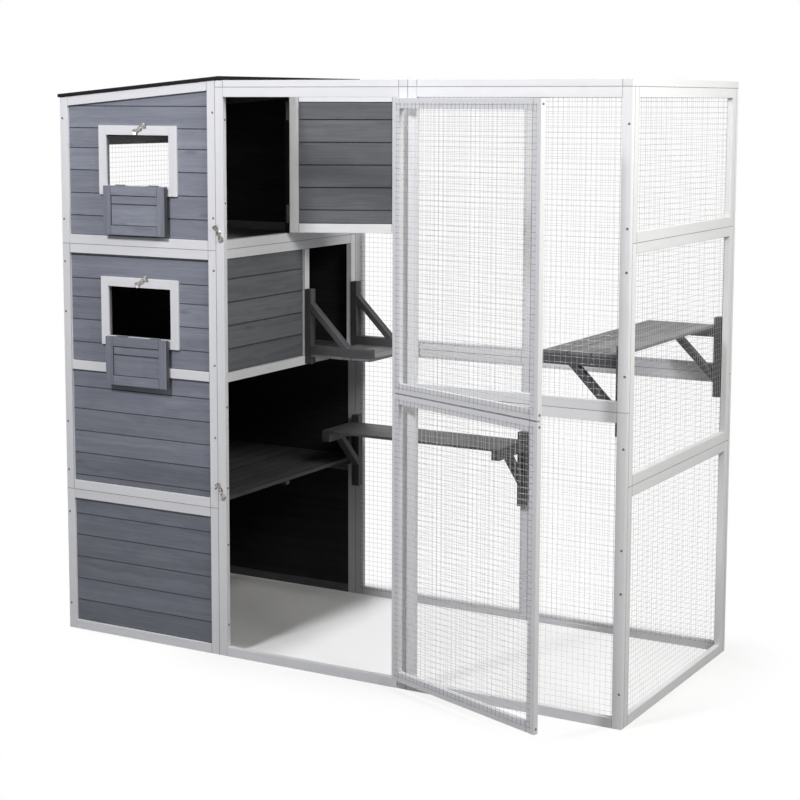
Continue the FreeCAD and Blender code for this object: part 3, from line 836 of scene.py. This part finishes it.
@dataclass
class Timber:
    """Strips or boards of one node, with eased edges and a grain of their own."""

    MARKS: ClassVar = (
        ("grain", "FLOAT_VECTOR", "POINT"), ("tone", "FLOAT", "POINT"), ("edge", "FLOAT", "FACE"),
    )
    # Least angle between sides that are not one flat side, least angle of an edge that is eased, and
    # the cosine from which a side is one of a strip's own, not an eased edge
    FLAT_ANGLE: ClassVar = math.radians(0.5)
    SHARP_ANGLE: ClassVar = math.radians(20)
    SQUARE: ClassVar = 0.985

    node: str
    finish: Finish
    seams: Seams
    inside: Optional[Vector] = None
    inside_finish: Finish = Finish.INSIDE_STAIN
    level_only: bool = False
    ease: float = 0.9 * MM
    free_edge: float = 0.12

    def build(self) -> None:
        """Copy the node's solids, ease their edges and dress them."""
        points, faces, _ = merged_solids([self.node])
        centres = [middle_of(corners) for corners, _ in closed_solids(self.node)]
        piece = link_mesh(self.node + "_timber", points, faces)
        self.ease_edges(piece)
        self.mark(piece, centres)
        piece.data.materials.append(self.finish.material)
        if self.inside is not None:
            self.stain_inside(piece)
        hand_over(piece, self.finish, body_of(self.node), self.node)

    def ease_edges(self, piece: bpy.types.Object) -> None:
        """Join the triangles of flat sides and round every sharp edge a little."""
        activate(piece)
        edit_mode()
        bpy.ops.mesh.select_mode(type="EDGE")
        bpy.ops.mesh.select_all(action="SELECT")
        bpy.ops.mesh.dissolve_limited(angle_limit=self.FLAT_ANGLE)
        bpy.ops.mesh.select_all(action="DESELECT")
        bpy.ops.mesh.edges_select_sharp(sharpness=self.SHARP_ANGLE)
        bpy.ops.mesh.bevel(offset=self.ease, segments=2, affect="EDGES", clamp_overlap=True)
        object_mode()

    def mark(self, piece: bpy.types.Object, centres: Sequence[Vector]) -> None:
        """Give each strip its grain direction and tone, and mark its eased edges and seams.

        Args:
            piece: The eased strips.
            centres: Middle of each solid of the node, in order.
        """
        for mark in self.MARKS:
            piece.data.attributes.new(*mark)
        shades = random.Random(self.node)
        whole = bmesh.new()
        whole.from_mesh(piece.data)
        seen: set[int] = set()
        for start in whole.verts:
            if start.index not in seen:
                strip = self.island_of(start)
                seen |= {vertex.index for vertex in strip}
                middle = middle_of(vertex.co for vertex in strip)
                number = min(range(len(centres)), key=lambda i: (centres[i] - middle).length)
                self.mark_strip(piece.data, strip, number, shades.random())
        whole.free()

    def mark_strip(self, mesh: bpy.types.Mesh, strip: set, number: int, shade: float) -> None:
        """Write the marks of one strip.

        Args:
            mesh: Mesh of all strips.
            strip: Vertices of this one.
            number: Number of its solid in the node.
            shade: Its tone, between 0 and 1.
        """
        grain, tone, edge = (mesh.attributes[name].data for name, _, _ in self.MARKS)
        edges = {e for vertex in strip for e in vertex.link_edges}
        sides = {f for vertex in strip for f in vertex.link_faces}
        longest = max(edges, key=lambda e: e.calc_length())
        axis = (longest.verts[1].co - longest.verts[0].co).normalized()
        wide = max(sides, key=lambda f: f.calc_area()).normal
        for vertex in strip:
            grain[vertex.index].vector = axis
            tone[vertex.index].value = shade
        for side in sides:
            square = max(abs(side.normal.dot(n)) for n in (axis, wide, axis.cross(wide)))
            if square < self.SQUARE:
                # Seams get the full dark line, painted shade where strips meet; free eased edges get
                # a little of it, as wear
                seam = self.seams.near(side.calc_center_median(), (self.node, number))
                edge[side.index].value = 1.0 if seam else self.free_edge

    @staticmethod
    def island_of(start: bmesh.types.BMVert) -> set:
        """Vertices of the strip that a vertex belongs to."""
        island = {start}
        queue = [start]
        while queue:
            for link in queue.pop().link_edges:
                for vertex in link.verts:
                    if vertex not in island:
                        island.add(vertex)
                        queue.append(vertex)
        return island

    def stain_inside(self, piece: bpy.types.Object) -> None:
        """Give the sides that look one way, or only those of level strips, their own dark finish,
        mostly painted shade where they lie in shade.
        """
        piece.data.materials.append(self.inside_finish.material)
        for side in piece.data.polygons:
            places = list(zip(*(piece.data.vertices[corner].co for corner in side.vertices)))
            level = max(places[0]) - min(places[0]) > max(places[2]) - min(places[2])
            if side.normal.dot(self.inside) > FACING and (level or not self.level_only):
                side.material_index = 1


class Joinery:
    """All timber of the enclosure."""

    # Sides with a dark finish of their own, painted shade where they face into the tower, the run or
    # away from the light, partly a real stain on the tower's inner boards: the way that they look,
    # the finish, and whether only those of level strips have it
    INSIDES = {
        "tower_front_boards": (Vector((0, 1, 0)), Finish.INSIDE_STAIN),
        "tower_back_boards": (Vector((0, -1, 0)), Finish.INSIDE_STAIN),
        "tower_left_boards": (Vector((1, 0, 0)), Finish.INSIDE_STAIN),
        "tower_side_boards": (Vector((-1, 0, 0)), Finish.INSIDE_STAIN),
        # Painted shade on the front faces of the side frame, seen in the nest doorway
        "tower_side_top_frame": (Vector((0, -1, 0)), Finish.INSIDE_STAIN),
        # Painted shade on the inner faces of the back wall's level rails
        "tower_back_frame": (Vector((0, -1, 0)), Finish.RUN_STAIN, True),
        # Painted shade on the shutters' right sides, which face away from the key lamp
        "upper_shutter_frame": (Vector((1, 0, 0)), Finish.BRACKET_STAIN),
        "lower_shutter_frame": (Vector((1, 0, 0)), Finish.BRACKET_STAIN),
    }
    # Finishes of single nodes, and then of all nodes whose names end alike
    NODES = {
        Finish.RUN_STAIN: ("tower_side_boards", "nest_door_boards"),
        Finish.SHELF_STAIN: ("wall_shelf", "landing_shelf"),
        Finish.FLOOR_STAIN: ("lower_platform", "middle_floor", "nest_floor"),
        Finish.BRACKET_STAIN: ("shelf_brackets", "floor_battens", "back_shelf"),
        # The roof panel is all nearly black, painted shade under the roof
        Finish.INSIDE_STAIN: ("roof_panel",),
    }
    ENDINGS = {
        Finish.GREY_STAIN: ("_boards", "_shutter_frame"),
        Finish.TRIM_PAINT: ("_trim",),
        Finish.WHITE_PAINT: ("_frame", "_frames"),
    }

    def build(self) -> None:
        """Build each timber node in turn."""
        finishes = {node: self.finish_of(node) for node in sorted(frame["nodes"])}
        timber = {node: finish for node, finish in finishes.items() if finish is not None}
        seams = Seams(timber)
        for node, finish in timber.items():
            Timber(node, finish, seams, *self.INSIDES.get(node, ())).build()

    def finish_of(self, node: str) -> Optional[Finish]:
        """Finish of a timber node, or None for wire, metal and felt."""
        named = (finish for finish, nodes in self.NODES.items() if node in nodes)
        ended = (finish for finish, ends in self.ENDINGS.items() if node.endswith(ends))
        return next(named, None) or next(ended, None)


# Wire mesh and its staples


@dataclass
class MeshPanels:
    """Welded wire of one net node: two layers of straight wires, and the staples that hold it."""

    # Section of a wire's cut point and of a staple's shoulder, as shares of the section before it
    NIPPED: ClassVar = (0.45, 1.0, 0.8)
    FLATTENED: ClassVar = (1.0, 1.0, 0.8)

    node: str
    inner: Vector
    lap: float = 0.0
    pitch: float = 17.0 * MM
    wire_sides: int = 6
    wire_radius: float = 0.35 * MM
    weld: float = 0.05 * MM
    stub: float = 4.0 * MM
    held: float = 12.0 * MM
    staple_step: float = 72.0 * MM
    staple_drift: float = 0.18
    staple_skew: float = 0.3
    crown: float = 8.0 * MM
    crown_width: float = 1.3 * MM
    crown_thickness: float = 0.7 * MM
    shoulder: float = 0.6 * MM
    shoulder_drop: float = 0.35 * MM
    leg_spread: float = 0.2 * MM
    leg_short: float = 0.2 * MM

    def build(self) -> None:
        """Build the wires and the staples of each panel of the node."""
        body = body_of(self.node)
        solids = closed_solids(self.node)
        slabs = [Slab.of(points, faces, self.inner) for points, faces in solids]
        layers = [layer for slab in slabs for layer in self.layers(slab)]
        wires = join_pieces(layers, self.node + "_wires")
        hand_over(wires, Finish.UPRIGHT_WIRE, body, self.node)
        places = [place for slab in slabs for place in self.staple_places(slab)]
        staples = place_copies(self.staple(), places, self.node + "_staples")
        hand_over(staples, Finish.STAPLE, body)

    def layers(self, slab: Slab) -> list[bpy.types.Object]:
        """Upright wires on the strips, and level wires welded on them.

        Args:
            slab: Place of the panel.

        Returns:
            One object for each layer, in place.
        """
        width = slab.high.x - slab.low.x + 2 * self.lap
        height = slab.high.y - slab.low.y + 2 * self.lap
        corner = slab.matrix(slab.low.x - self.lap, slab.low.y - self.lap, slab.low.z)
        level_depth = 3 * self.wire_radius - self.weld
        upright = corner @ Matrix.Translation((self.stub, height / 2, self.wire_radius))
        quarter = Matrix.Rotation(math.radians(-90), 4, "Z")
        mirror = Matrix.Scale(-1, 4, (1, 0, 0))
        level = corner @ Matrix.Translation((width / 2, self.stub, level_depth)) @ quarter @ mirror
        # Uprights get the paler wire and level wires the darker one, as painted light and shade
        return [
            self.row(upright, height, width, Finish.UPRIGHT_WIRE),
            self.row(level, width, height, Finish.LEVEL_WIRE),
        ]

    def row(self, place: Matrix, length: float, span: float, finish: Finish) -> bpy.types.Object:
        """Parallel wires with nipped ends, darkened where they lie on the strips as painted shade of
        their shadows there.

        Args:
            place: Where the middle of the first wire goes.
            length: Length of each wire.
            span: Width of the mesh across the wires.
            finish: Finish of the wires between the strips.

        Returns:
            The row, in place.
        """
        room = span - 2 * self.stub
        count = round(room / self.pitch) + 1
        held = self.held + self.lap
        half = length / 2 - held
        wire = add_cylinder(self.wire_sides, self.wire_radius, -half, half, math.radians(90))
        for end in (1, -1):
            self.draw_end(wire, end, held)
        for part in (finish, Finish.WIRE_END):
            wire.data.materials.append(part.material)
        for face in wire.data.polygons:
            face.material_index = int(abs(face.center.y) > half)
        apply_modifier(
            wire, "ARRAY", count=count, use_relative_offset=False, use_constant_offset=True,
            constant_offset_displace=(room / (count - 1), 0, 0),
        )
        wire.data.transform(place)
        if place.determinant() < 0:
            wire.data.flip_normals()
        return wire

    def draw_end(self, wire: bpy.types.Object, end: int, held: float) -> None:
        """Draw one end of a wire out over its strip, to the point where it was cut.

        Args:
            wire: The wire, along Y.
            end: 1 or -1 for the end.
            held: Length on the strip.
        """
        nip = 2 * self.wire_radius
        select_facing(wire, Vector((0, end, 0)))
        extrude((0, (held - nip) * end, 0))
        extrude((0, nip * end, 0), self.NIPPED)
        object_mode()

    def staple(self) -> bpy.types.Object:
        """Model one staple: a flat crown whose ends bend down into legs.

        Returns:
            The staple, with its crown along X and its legs towards the strip at -Z.
        """
        top = 4 * self.wire_radius + self.crown_thickness
        deselect_all()
        bpy.ops.mesh.primitive_cube_add(size=1, location=(0, 0, top - self.crown_thickness / 2))
        staple = bpy.context.object
        staple.scale = (self.crown, self.crown_width, self.crown_thickness)
        bpy.ops.object.transform_apply(location=True, rotation=True, scale=True)
        for end in (1, -1):
            select_facing(staple, Vector((end, 0, 0)))
            extrude((self.shoulder * end, 0, -self.shoulder_drop), self.FLATTENED)
            extrude((self.leg_spread * end, 0, self.leg_short - top))
            object_mode()
        return staple

    def staple_places(self, slab: Slab) -> list[Matrix]:
        """Staples over the outermost wires, a hand's width apart and a little askew.

        Args:
            slab: Place of the panel.

        Returns:
            Placement of each staple.
        """
        low, high = slab.low, slab.high
        jitter = random.Random(self.node + str(round(low.y, 3)) + str(round(low.x, 3)))
        inset = self.stub - self.lap
        sides = (
            (low.x, high.x, low.y + inset, False),
            (low.x, high.x, high.y - inset, False),
            (low.y, high.y, low.x + inset, True),
            (low.y, high.y, high.x - inset, True),
        )
        places = []
        for start, end, line, upright in sides:
            count = max(2, round((end - start) / self.staple_step))
            for number in range(count):
                drift = jitter.uniform(-self.staple_drift, self.staple_drift)
                run = start + (end - start) * (number + 0.5 + drift) / count
                skew = jitter.uniform(-self.staple_skew, self.staple_skew)
                turn = Matrix.Rotation(skew + (0 if upright else math.pi / 2), 4, "Z")
                along, up = (line, run) if upright else (run, line)
                places.append(slab.matrix(along, up, low.z) @ turn)
        return places


# Small metal parts


def facing(place: Vector, outward: Vector) -> Matrix:
    """Placement at a point, with Z along the direction that looks out of the surface."""
    return Matrix.Translation(place) @ outward.to_track_quat("Z", "Y").to_matrix().to_4x4()


def cut_cross(piece: bpy.types.Object, depth: float) -> None:
    """Sink a cross recess into the uppermost face of a piece that is round about Z.

    Args:
        piece: Piece in edit mode.
        depth: Depth of the recess.
    """
    object_mode()
    top = max(piece.data.polygons, key=lambda face: face.center.z)
    corners = set(top.vertices)
    for vertex in piece.data.vertices:
        turn = math.atan2(vertex.co.y, vertex.co.x) * CROSS_ARMS / math.tau
        vertex.select = vertex.index in corners and abs(turn - round(turn)) > CROSS_ARM_WIDTH
    for part in (*piece.data.edges, *piece.data.polygons):
        part.select = False
    edit_mode()
    bpy.ops.mesh.select_mode(type="VERT")
    waist = (CROSS_WAIST, CROSS_WAIST, 1.0)
    bpy.ops.transform.resize(value=waist, center_override=(0.0, 0.0, 0.0))
    object_mode()
    top = max(piece.data.polygons, key=lambda face: face.center.z)
    select_only(piece, [top.index])
    extrude((0, 0, -depth))
    object_mode()


@dataclass(frozen=True)
class ScrewHead:
    """Countersunk head with a cross recess, that stands a hair proud of its face."""

    sides: int = 12
    radius: float = 3.6 * MM
    proud: float = 0.3 * MM
    sunk: float = 0.8 * MM
    rim_share: float = 0.1
    rim_lift: float = 0.1 * MM
    land_share: float = 0.32
    recess: float = 0.7 * MM

    def model(self) -> bpy.types.Object:
        """Model one head on the face Z = 0.

        Returns:
            The head.
        """
        head = add_cylinder(self.sides, self.radius, -self.sunk, self.proud)
        select_facing(head, Vector((0, 0, 1)))
        inset_and_lift(self.rim_share * self.radius, self.rim_lift)
        bpy.ops.mesh.inset(thickness=self.land_share * self.radius)
        cut_cross(head, self.recess)
        return head


@dataclass
class Screws:
    """Screws that hold the panels, the platform and the door frames together."""

    # Millimetres from the tower's front left foot: heights by the distance along the front, heights
    # on the jamb's inner face, that face's own place, and places on the platform
    FRONT: ClassVar = {
        9: (1701, 1374, 1235, 1070, 703, 540, 398, 85),
        605: (1722, 1396, 1232, 933, 703, 540),
        1984: (1699, 1414, 1294, 1006, 803, 516, 392, 102),
    }
    JAMB: ClassVar = (1700, 1443, 803, 544, 361, 101)
    JAMB_FACE: ClassVar = (644, 10)
    PLATFORM: ClassVar = ((128, 820, 505), (476, 820, 505))
    NEARLY_WHOLE: ClassVar = 0.95

    corner_inset: float = 15.0 * MM

    def build(self) -> None:
        """Build the fixed screws, then those of each mesh door."""
        low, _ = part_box("tower_front_bottom_frame")
        corner = Vector((low.x, low.y, 0))
        front, right, up = Vector((0, -1, 0)), Vector((1, 0, 0)), Vector((0, 0, 1))
        spots = [((x, 0, z), front) for x, heights in self.FRONT.items() for z in heights]
        spots += [((*self.JAMB_FACE, z), right) for z in self.JAMB]
        spots += [(spot, up) for spot in self.PLATFORM]
        places = [facing(corner + Vector(spot) * MM, outward) for spot, outward in spots]
        self.drive(places, "panel_screws", "cage")
        for door in MESH_DOORS:
            self.drive(self.door_places(door), door + "_screws", body_of(door + "_frame"))

    @staticmethod
    def drive(places: Sequence[Matrix], name: str, body: str) -> None:
        """Copy the head to its places and hand it over."""
        hand_over(place_copies(ScrewHead().model(), places, name), Finish.SCREW, body)

    def door_places(self, door: str) -> list[Matrix]:
        """Two screws in the free edge of a door, at its corners.

        Args:
            door: Name of the door.

        Returns:
            Their placements.
        """
        solids = [[Vector(p) for p in points] for points, _ in closed_solids(door + "_frame")]
        hinge_low, hinge_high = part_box(door + "_hinge_leaves")
        hinge = (hinge_low + hinge_high) / 2
        away = middle_of(p for points in solids for p in points) - hinge
        rail = min(solids, key=lambda points: max(p.z for p in points) - min(p.z for p in points))
        spans = [a - b for a in rail for b in rail if abs((a - b).z) < MM]
        longest = max(spans, key=lambda span: abs(span.dot(away))).length
        lengths = [span for span in spans if span.length > self.NEARLY_WHOLE * longest]
        along = max((span.normalized() for span in lengths), key=lambda v: v.dot(away))
        stile = max(solids, key=lambda points: max(p.dot(along) for p in points))
        reach = max(p.dot(along) for p in stile)
        edge = [p for p in stile if p.dot(along) > reach - MM]
        middle = middle_of(edge)
        low, high = min(p.z for p in edge), max(p.z for p in edge)
        heights = (low + self.corner_inset, high - self.corner_inset)
        return [facing(Vector((middle.x, middle.y, z)), along) for z in heights]


@dataclass
class TurnLatch:
    """Butterfly turn latch: a washer with its pivot and head, and a wing that turns on it."""

    NAMES: ClassVar = (
        "upper_door_latch", "lower_door_latch", "upper_window_latch", "lower_window_latch",
    )
    # Millimetres out and up and the spread of a blade, and inset and lift of the head's dome
    WING_STEPS: ClassVar = (
        (3.5, 0.0, 0.85), (5.0, 0.4, 1.6), (6.0, 1.3, 1.45), (5.0, 2.4, 0.95),
    )
    DOME_STEPS: ClassVar = ((0.6, 0.45), (1.2, 0.3))
    TIP_SHARE: ClassVar = 0.98
    WING_COSINE: ClassVar = 0.75
    SHARP_ANGLE: ClassVar = math.radians(50)

    sides: int = 24
    washer_radius: float = 9.0 * MM
    washer: float = 1.5 * MM
    rim: float = 0.5 * MM
    rim_lift: float = 0.25 * MM
    pivot_radius: float = 3.0 * MM
    seat: float = 3.7 * MM
    head_radius: float = 5.5 * MM
    head: float = 1.1 * MM
    recess: float = 0.9 * MM
    hub_radius: float = 7.0 * MM
    hub_low: float = 1.8 * MM
    hub: float = 1.6 * MM
    bore_radius: float = 3.1 * MM
    ease: float = 0.3 * MM

    def build(self) -> None:
        """Build the four bases, then each wing on its own body."""
        places = {name: self.place(name) for name in self.NAMES}
        bases = place_copies(self.base(), places.values(), "latch_bases_turned")
        hand_over(bases, Finish.LATCH, body_of("latch_bases"), "latch_bases")
        for name, place in places.items():
            wing = place_copies(self.wing(), [place], name + "_wing")
            hand_over(wing, Finish.LATCH, body_of(name), name)

    def place(self, name: str) -> Matrix:
        """Placement of a latch: Z out of its face, X along its wing.

        Args:
            name: Node of the wing.

        Returns:
            The placement.
        """
        low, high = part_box(name)
        pivot = Vector(((low.x + high.x) / 2, high.y + self.hub_low, (low.z + high.z) / 2))
        points = [Vector(p) for corners, _ in closed_solids(name) for p in corners]
        spokes = [Vector((p.x - pivot.x, 0, p.z - pivot.z)) for p in points]
        reach = max(spoke.length for spoke in spokes)
        tips = [spoke for spoke in spokes if spoke.length > self.TIP_SHARE * reach]
        along = sum((t if t.z > 0 else -t for t in tips), Vector()).normalized()
        outward = Vector((0, -1, 0))
        turn = Matrix((along, outward.cross(along), outward)).transposed().to_4x4()
        return Matrix.Translation(pivot) @ turn

    def base(self) -> bpy.types.Object:
        """Turn the washer, the pivot and the domed head from one disc.

        Returns:
            The base, on the face Z = 0.
        """
        base = add_cylinder(self.sides, self.washer_radius, 0.0, self.washer)
        spread = self.head_radius / self.pivot_radius
        select_facing(base, Vector((0, 0, 1)))
        inset_and_lift(self.rim, self.rim_lift)
        bpy.ops.mesh.inset(thickness=self.washer_radius - self.rim - self.pivot_radius)
        extrude((0, 0, self.seat - self.washer - self.rim_lift))
        extrude((0, 0, 0), (spread, spread, 1))
        extrude((0, 0, self.head))
        for thickness, lift in self.DOME_STEPS:
            inset_and_lift(thickness * MM, lift * MM)
        cut_cross(base, self.recess)
        return base

    def wing(self) -> bpy.types.Object:
        """Draw two spread blades with lifted tips out of a bored hub.

        Returns:
            The wing, along X.
        """
        wing = add_cylinder(self.sides, self.hub_radius, self.hub_low, self.hub_low + self.hub)
        for end in (1, -1):
            select_facing(wing, Vector((end, 0, 0)), self.WING_COSINE)
            for run, lift, spread in self.WING_STEPS:
                extrude((run * MM * end, 0, lift * MM), (1, spread, 1))
            object_mode()
        self.bore(wing)
        select_only(wing, [])
        bpy.ops.mesh.select_mode(type="EDGE")
        bpy.ops.mesh.edges_select_sharp(sharpness=self.SHARP_ANGLE)
        bpy.ops.mesh.bevel(offset=self.ease, segments=1, affect="EDGES", clamp_overlap=True)
        object_mode()
        return wing

    def bore(self, wing: bpy.types.Object) -> None:
        """Bore the hub for its pivot, from both flat sides at once."""
        faces = [face for face in wing.data.polygons if len(face.vertices) == self.sides]
        select_only(wing, [face.index for face in faces if face.center.xy.length < MM])
        bpy.ops.mesh.inset(thickness=self.hub_radius - self.bore_radius)
        bpy.ops.mesh.bridge_edge_loops()
        object_mode()


# Scene


@dataclass(frozen=True)
class PhotoCamera:
    """Camera that was fitted to the photograph's corners."""

    location: tuple[float, float, float] = (2.87044, -4.88113, 1.76021)
    yaw: float = math.radians(-29.9604)
    pitch: float = math.radians(-6.9499)
    roll: float = math.radians(0.1232)
    focal_px: float = 1800.25
    centre_px: tuple[float, float] = (386.8, 320.0)
    frame_px: float = 800.0
    sensor: float = 36.0
    clip_end: float = 200.0

    def build(self) -> None:
        """Add the camera and make it the scene's."""
        data = bpy.data.cameras.new("photo_camera")
        data.sensor_width = self.sensor
        data.lens = self.focal_px / self.frame_px * self.sensor
        data.shift_x = 0.5 - self.centre_px[0] / self.frame_px
        data.shift_y = self.centre_px[1] / self.frame_px - 0.5
        data.clip_end = self.clip_end
        camera = bpy.data.objects.new("photo_camera", data)
        bpy.context.scene.collection.objects.link(camera)
        level = math.cos(self.pitch)
        flat_right = Vector((math.cos(self.yaw), -math.sin(self.yaw), 0))
        flat_forward = Vector((math.sin(self.yaw), math.cos(self.yaw), 0))
        forward = flat_forward * level + Vector((0, 0, math.sin(self.pitch)))
        flat_up = flat_right.cross(forward)
        right = flat_right * math.cos(self.roll) + flat_up * math.sin(self.roll)
        up = flat_up * math.cos(self.roll) - flat_right * math.sin(self.roll)
        turn = Matrix((right, up, -forward)).transposed().to_4x4()
        camera.matrix_world = Matrix.Translation(self.location) @ turn
        bpy.context.scene.camera = camera


@dataclass(frozen=True)
class Softbox:
    """Large soft lamp that looks at a point."""

    name: str
    location: tuple[float, float, float]
    target: tuple[float, float, float]
    size: tuple[float, float]
    power: float
    colour: Colour = WHITE

    def build(self) -> None:
        """Add the lamp."""
        data = bpy.data.lights.new(self.name, "AREA")
        data.shape = "RECTANGLE"
        data.size, data.size_y = self.size
        data.energy = self.power
        data.color = self.colour
        lamp = bpy.data.objects.new(self.name, data)
        lamp.location = self.location
        aim = Vector(self.target) - Vector(self.location)
        lamp.rotation_euler = aim.to_track_quat("-Z", "Y").to_euler()
        bpy.context.scene.collection.objects.link(lamp)


@dataclass
class Studio:
    """Pale floor, white surroundings and soft lamps."""

    SHOWING_RAYS: ClassVar = ("Is Camera Ray", "Is Glossy Ray", "Is Transmission Ray")
    RAY_STEP: ClassVar = (0.5, 0.01)

    ambient: float = 0.07
    floor_half: float = 30.0
    floor_seen: Colour = (0.97, 0.97, 0.97)
    floor_bounce: Colour = (0.3, 0.3, 0.3)
    tower_shade: Rectangle = ((-0.61, 0.17, 0.0), (0.28, 0.33, 0.0))
    tower_fade: tuple[float, float] = (0.1, 0.1)
    run_shade: Rectangle = ((0.32, 0.12, 0.0), (0.64, 0.35, 0.0))
    run_fade: tuple[float, float] = (0.16, 0.16)
    run_white: float = 0.65
    lamps: tuple[Softbox, ...] = (
        Softbox(
            "front_softbox", location=(-0.58, -3.15, 3.55), target=(-0.3, -0.3, 1.2),
            size=(0.5, 0.6), power=96.0, colour=(0.965, 0.965, 1.0),
        ),
        Softbox(
            "right_softbox", location=(2.9, -0.9, 3.3), target=(1.0, 0.0, 1.3),
            size=(1.6, 1.6), power=109.0, colour=(1.0, 0.99, 0.95),
        ),
        Softbox(
            "rear_softbox", location=(-3.0, 3.2, 3.2), target=(-0.4, 0.2, 0.9),
            size=(1.8, 1.8), power=58.0,
        ),
    )

    def build(self) -> None:
        """Set the view, the world, the floor and the lamps."""
        bpy.context.scene.view_settings.view_transform = "Standard"
        self.build_world()
        self.build_floor()
        for lamp in self.lamps:
            lamp.build()

    @classmethod
    def seen_directly(cls, graph: NodeGraph) -> Signal:
        """Whether a ray shows the surroundings: straight, mirrored or through something."""
        rays = [graph.node("LightPath", None, None, name) for name in cls.SHOWING_RAYS]
        return (rays[0] + rays[1] + rays[2]).above(*cls.RAY_STEP)

    def build_world(self) -> None:
        """White for what looks at the world, and a plain level of light for what it lights."""
        world = bpy.data.worlds.new("studio_world")
        bpy.context.scene.world = world
        world.use_nodes = True
        graph = NodeGraph(world.node_tree)
        strength = self.ambient + self.seen_directly(graph) * (1.0 - self.ambient)
        back = graph.node("Background", None, {"Color": WHITE, "Strength": strength})
        graph.node("OutputWorld", None, {"Surface": back})

    @staticmethod
    def away_from(graph: NodeGraph, rectangle: Rectangle) -> Signal:
        """Distance of a place on the floor from a rectangle.

        Args:
            graph: Where the nodes go.
            rectangle: Its middle and its half lengths.

        Returns:
            The distance, nought inside.
        """
        middle, half = rectangle
        from_middle = graph.place() - middle
        away = graph.node("VectorMath", {"operation": "ABSOLUTE"}, {0: from_middle}) - half
        beyond = graph.node("VectorMath", {"operation": "MAXIMUM"}, {0: away, 1: (0.0, 0.0, 0.0)})
        return graph.node("VectorMath", {"operation": "LENGTH"}, {0: beyond}, "Value")

    def build_floor(self) -> None:
        """Floor that takes the shadow near the enclosure and fades to white away from it."""
        deselect_all()
        bpy.ops.mesh.primitive_plane_add(size=2 * self.floor_half)
        floor = bpy.context.object
        floor.name = "studio_floor"
        material, graph = new_material("studio_floor")
        by_tower = self.away_from(graph, self.tower_shade).above(*self.tower_fade)
        by_run = self.away_from(graph, self.run_shade).above(*self.run_fade)
        direct = self.seen_directly(graph)
        tint = graph.mix(direct, self.floor_bounce, self.floor_seen)
        shader = graph.node("BsdfDiffuse", None, {"Color": tint})
        white = graph.node("Emission", None, {"Color": WHITE, "Strength": 1.0})
        fade = by_tower * (self.run_white + by_run * (1.0 - self.run_white)) * direct
        mixed = graph.node("MixShader", None, {0: fade, 1: shader, 2: white})
        graph.node("OutputMaterial", None, {"Surface": mixed})
        floor.data.materials.append(material)


class CatEnclosure:
    """The whole enclosure, sub-assembly by sub-assembly."""

    STATIC_NETS = ("front_nets", "side_nets", "back_nets", "top_nets", "tower_left_net")
    DOOR_LAP = 7.0 * MM
    # Steps from a door's middle to its net that lead to a point well outside the door
    FAR = 50
    PLAIN = {"hinge": Finish.HINGE, "felt": Finish.ROOF_FELT}

    def build(self) -> None:
        """Build every sub-assembly."""
        Joinery().build()
        self.build_nets()
        Screws().build()
        TurnLatch().build()
        self.dress_rest()

    def build_nets(self) -> None:
        """Build the fixed mesh panels and those of the doors."""
        middle = (CAD_BOX[0] + CAD_BOX[1]) / 2
        for node in self.STATIC_NETS:
            MeshPanels(node, middle).build()
        for door in MESH_DOORS:
            net = middle_of(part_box(door + "_net"))
            outward = net - middle_of(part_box(door + "_frame"))
            MeshPanels(door + "_net", net + outward * self.FAR, lap=self.DOOR_LAP).build()

    def dress_rest(self) -> None:
        """Give the solids that stay their finishes."""
        for node, solid in frame["nodes"].items():
            for word, finish in self.PLAIN.items():
                if word in node:
                    solid.data.materials.clear()
                    solid.data.materials.append(finish.material)


def main() -> None:
    """Build the camera, the studio and the enclosure."""
    logging.basicConfig(level=logging.INFO, format="%(name)s: %(message)s")
    PhotoCamera().build()
    Studio().build()
    CatEnclosure().build()


if __name__ == "__main__":
    main()
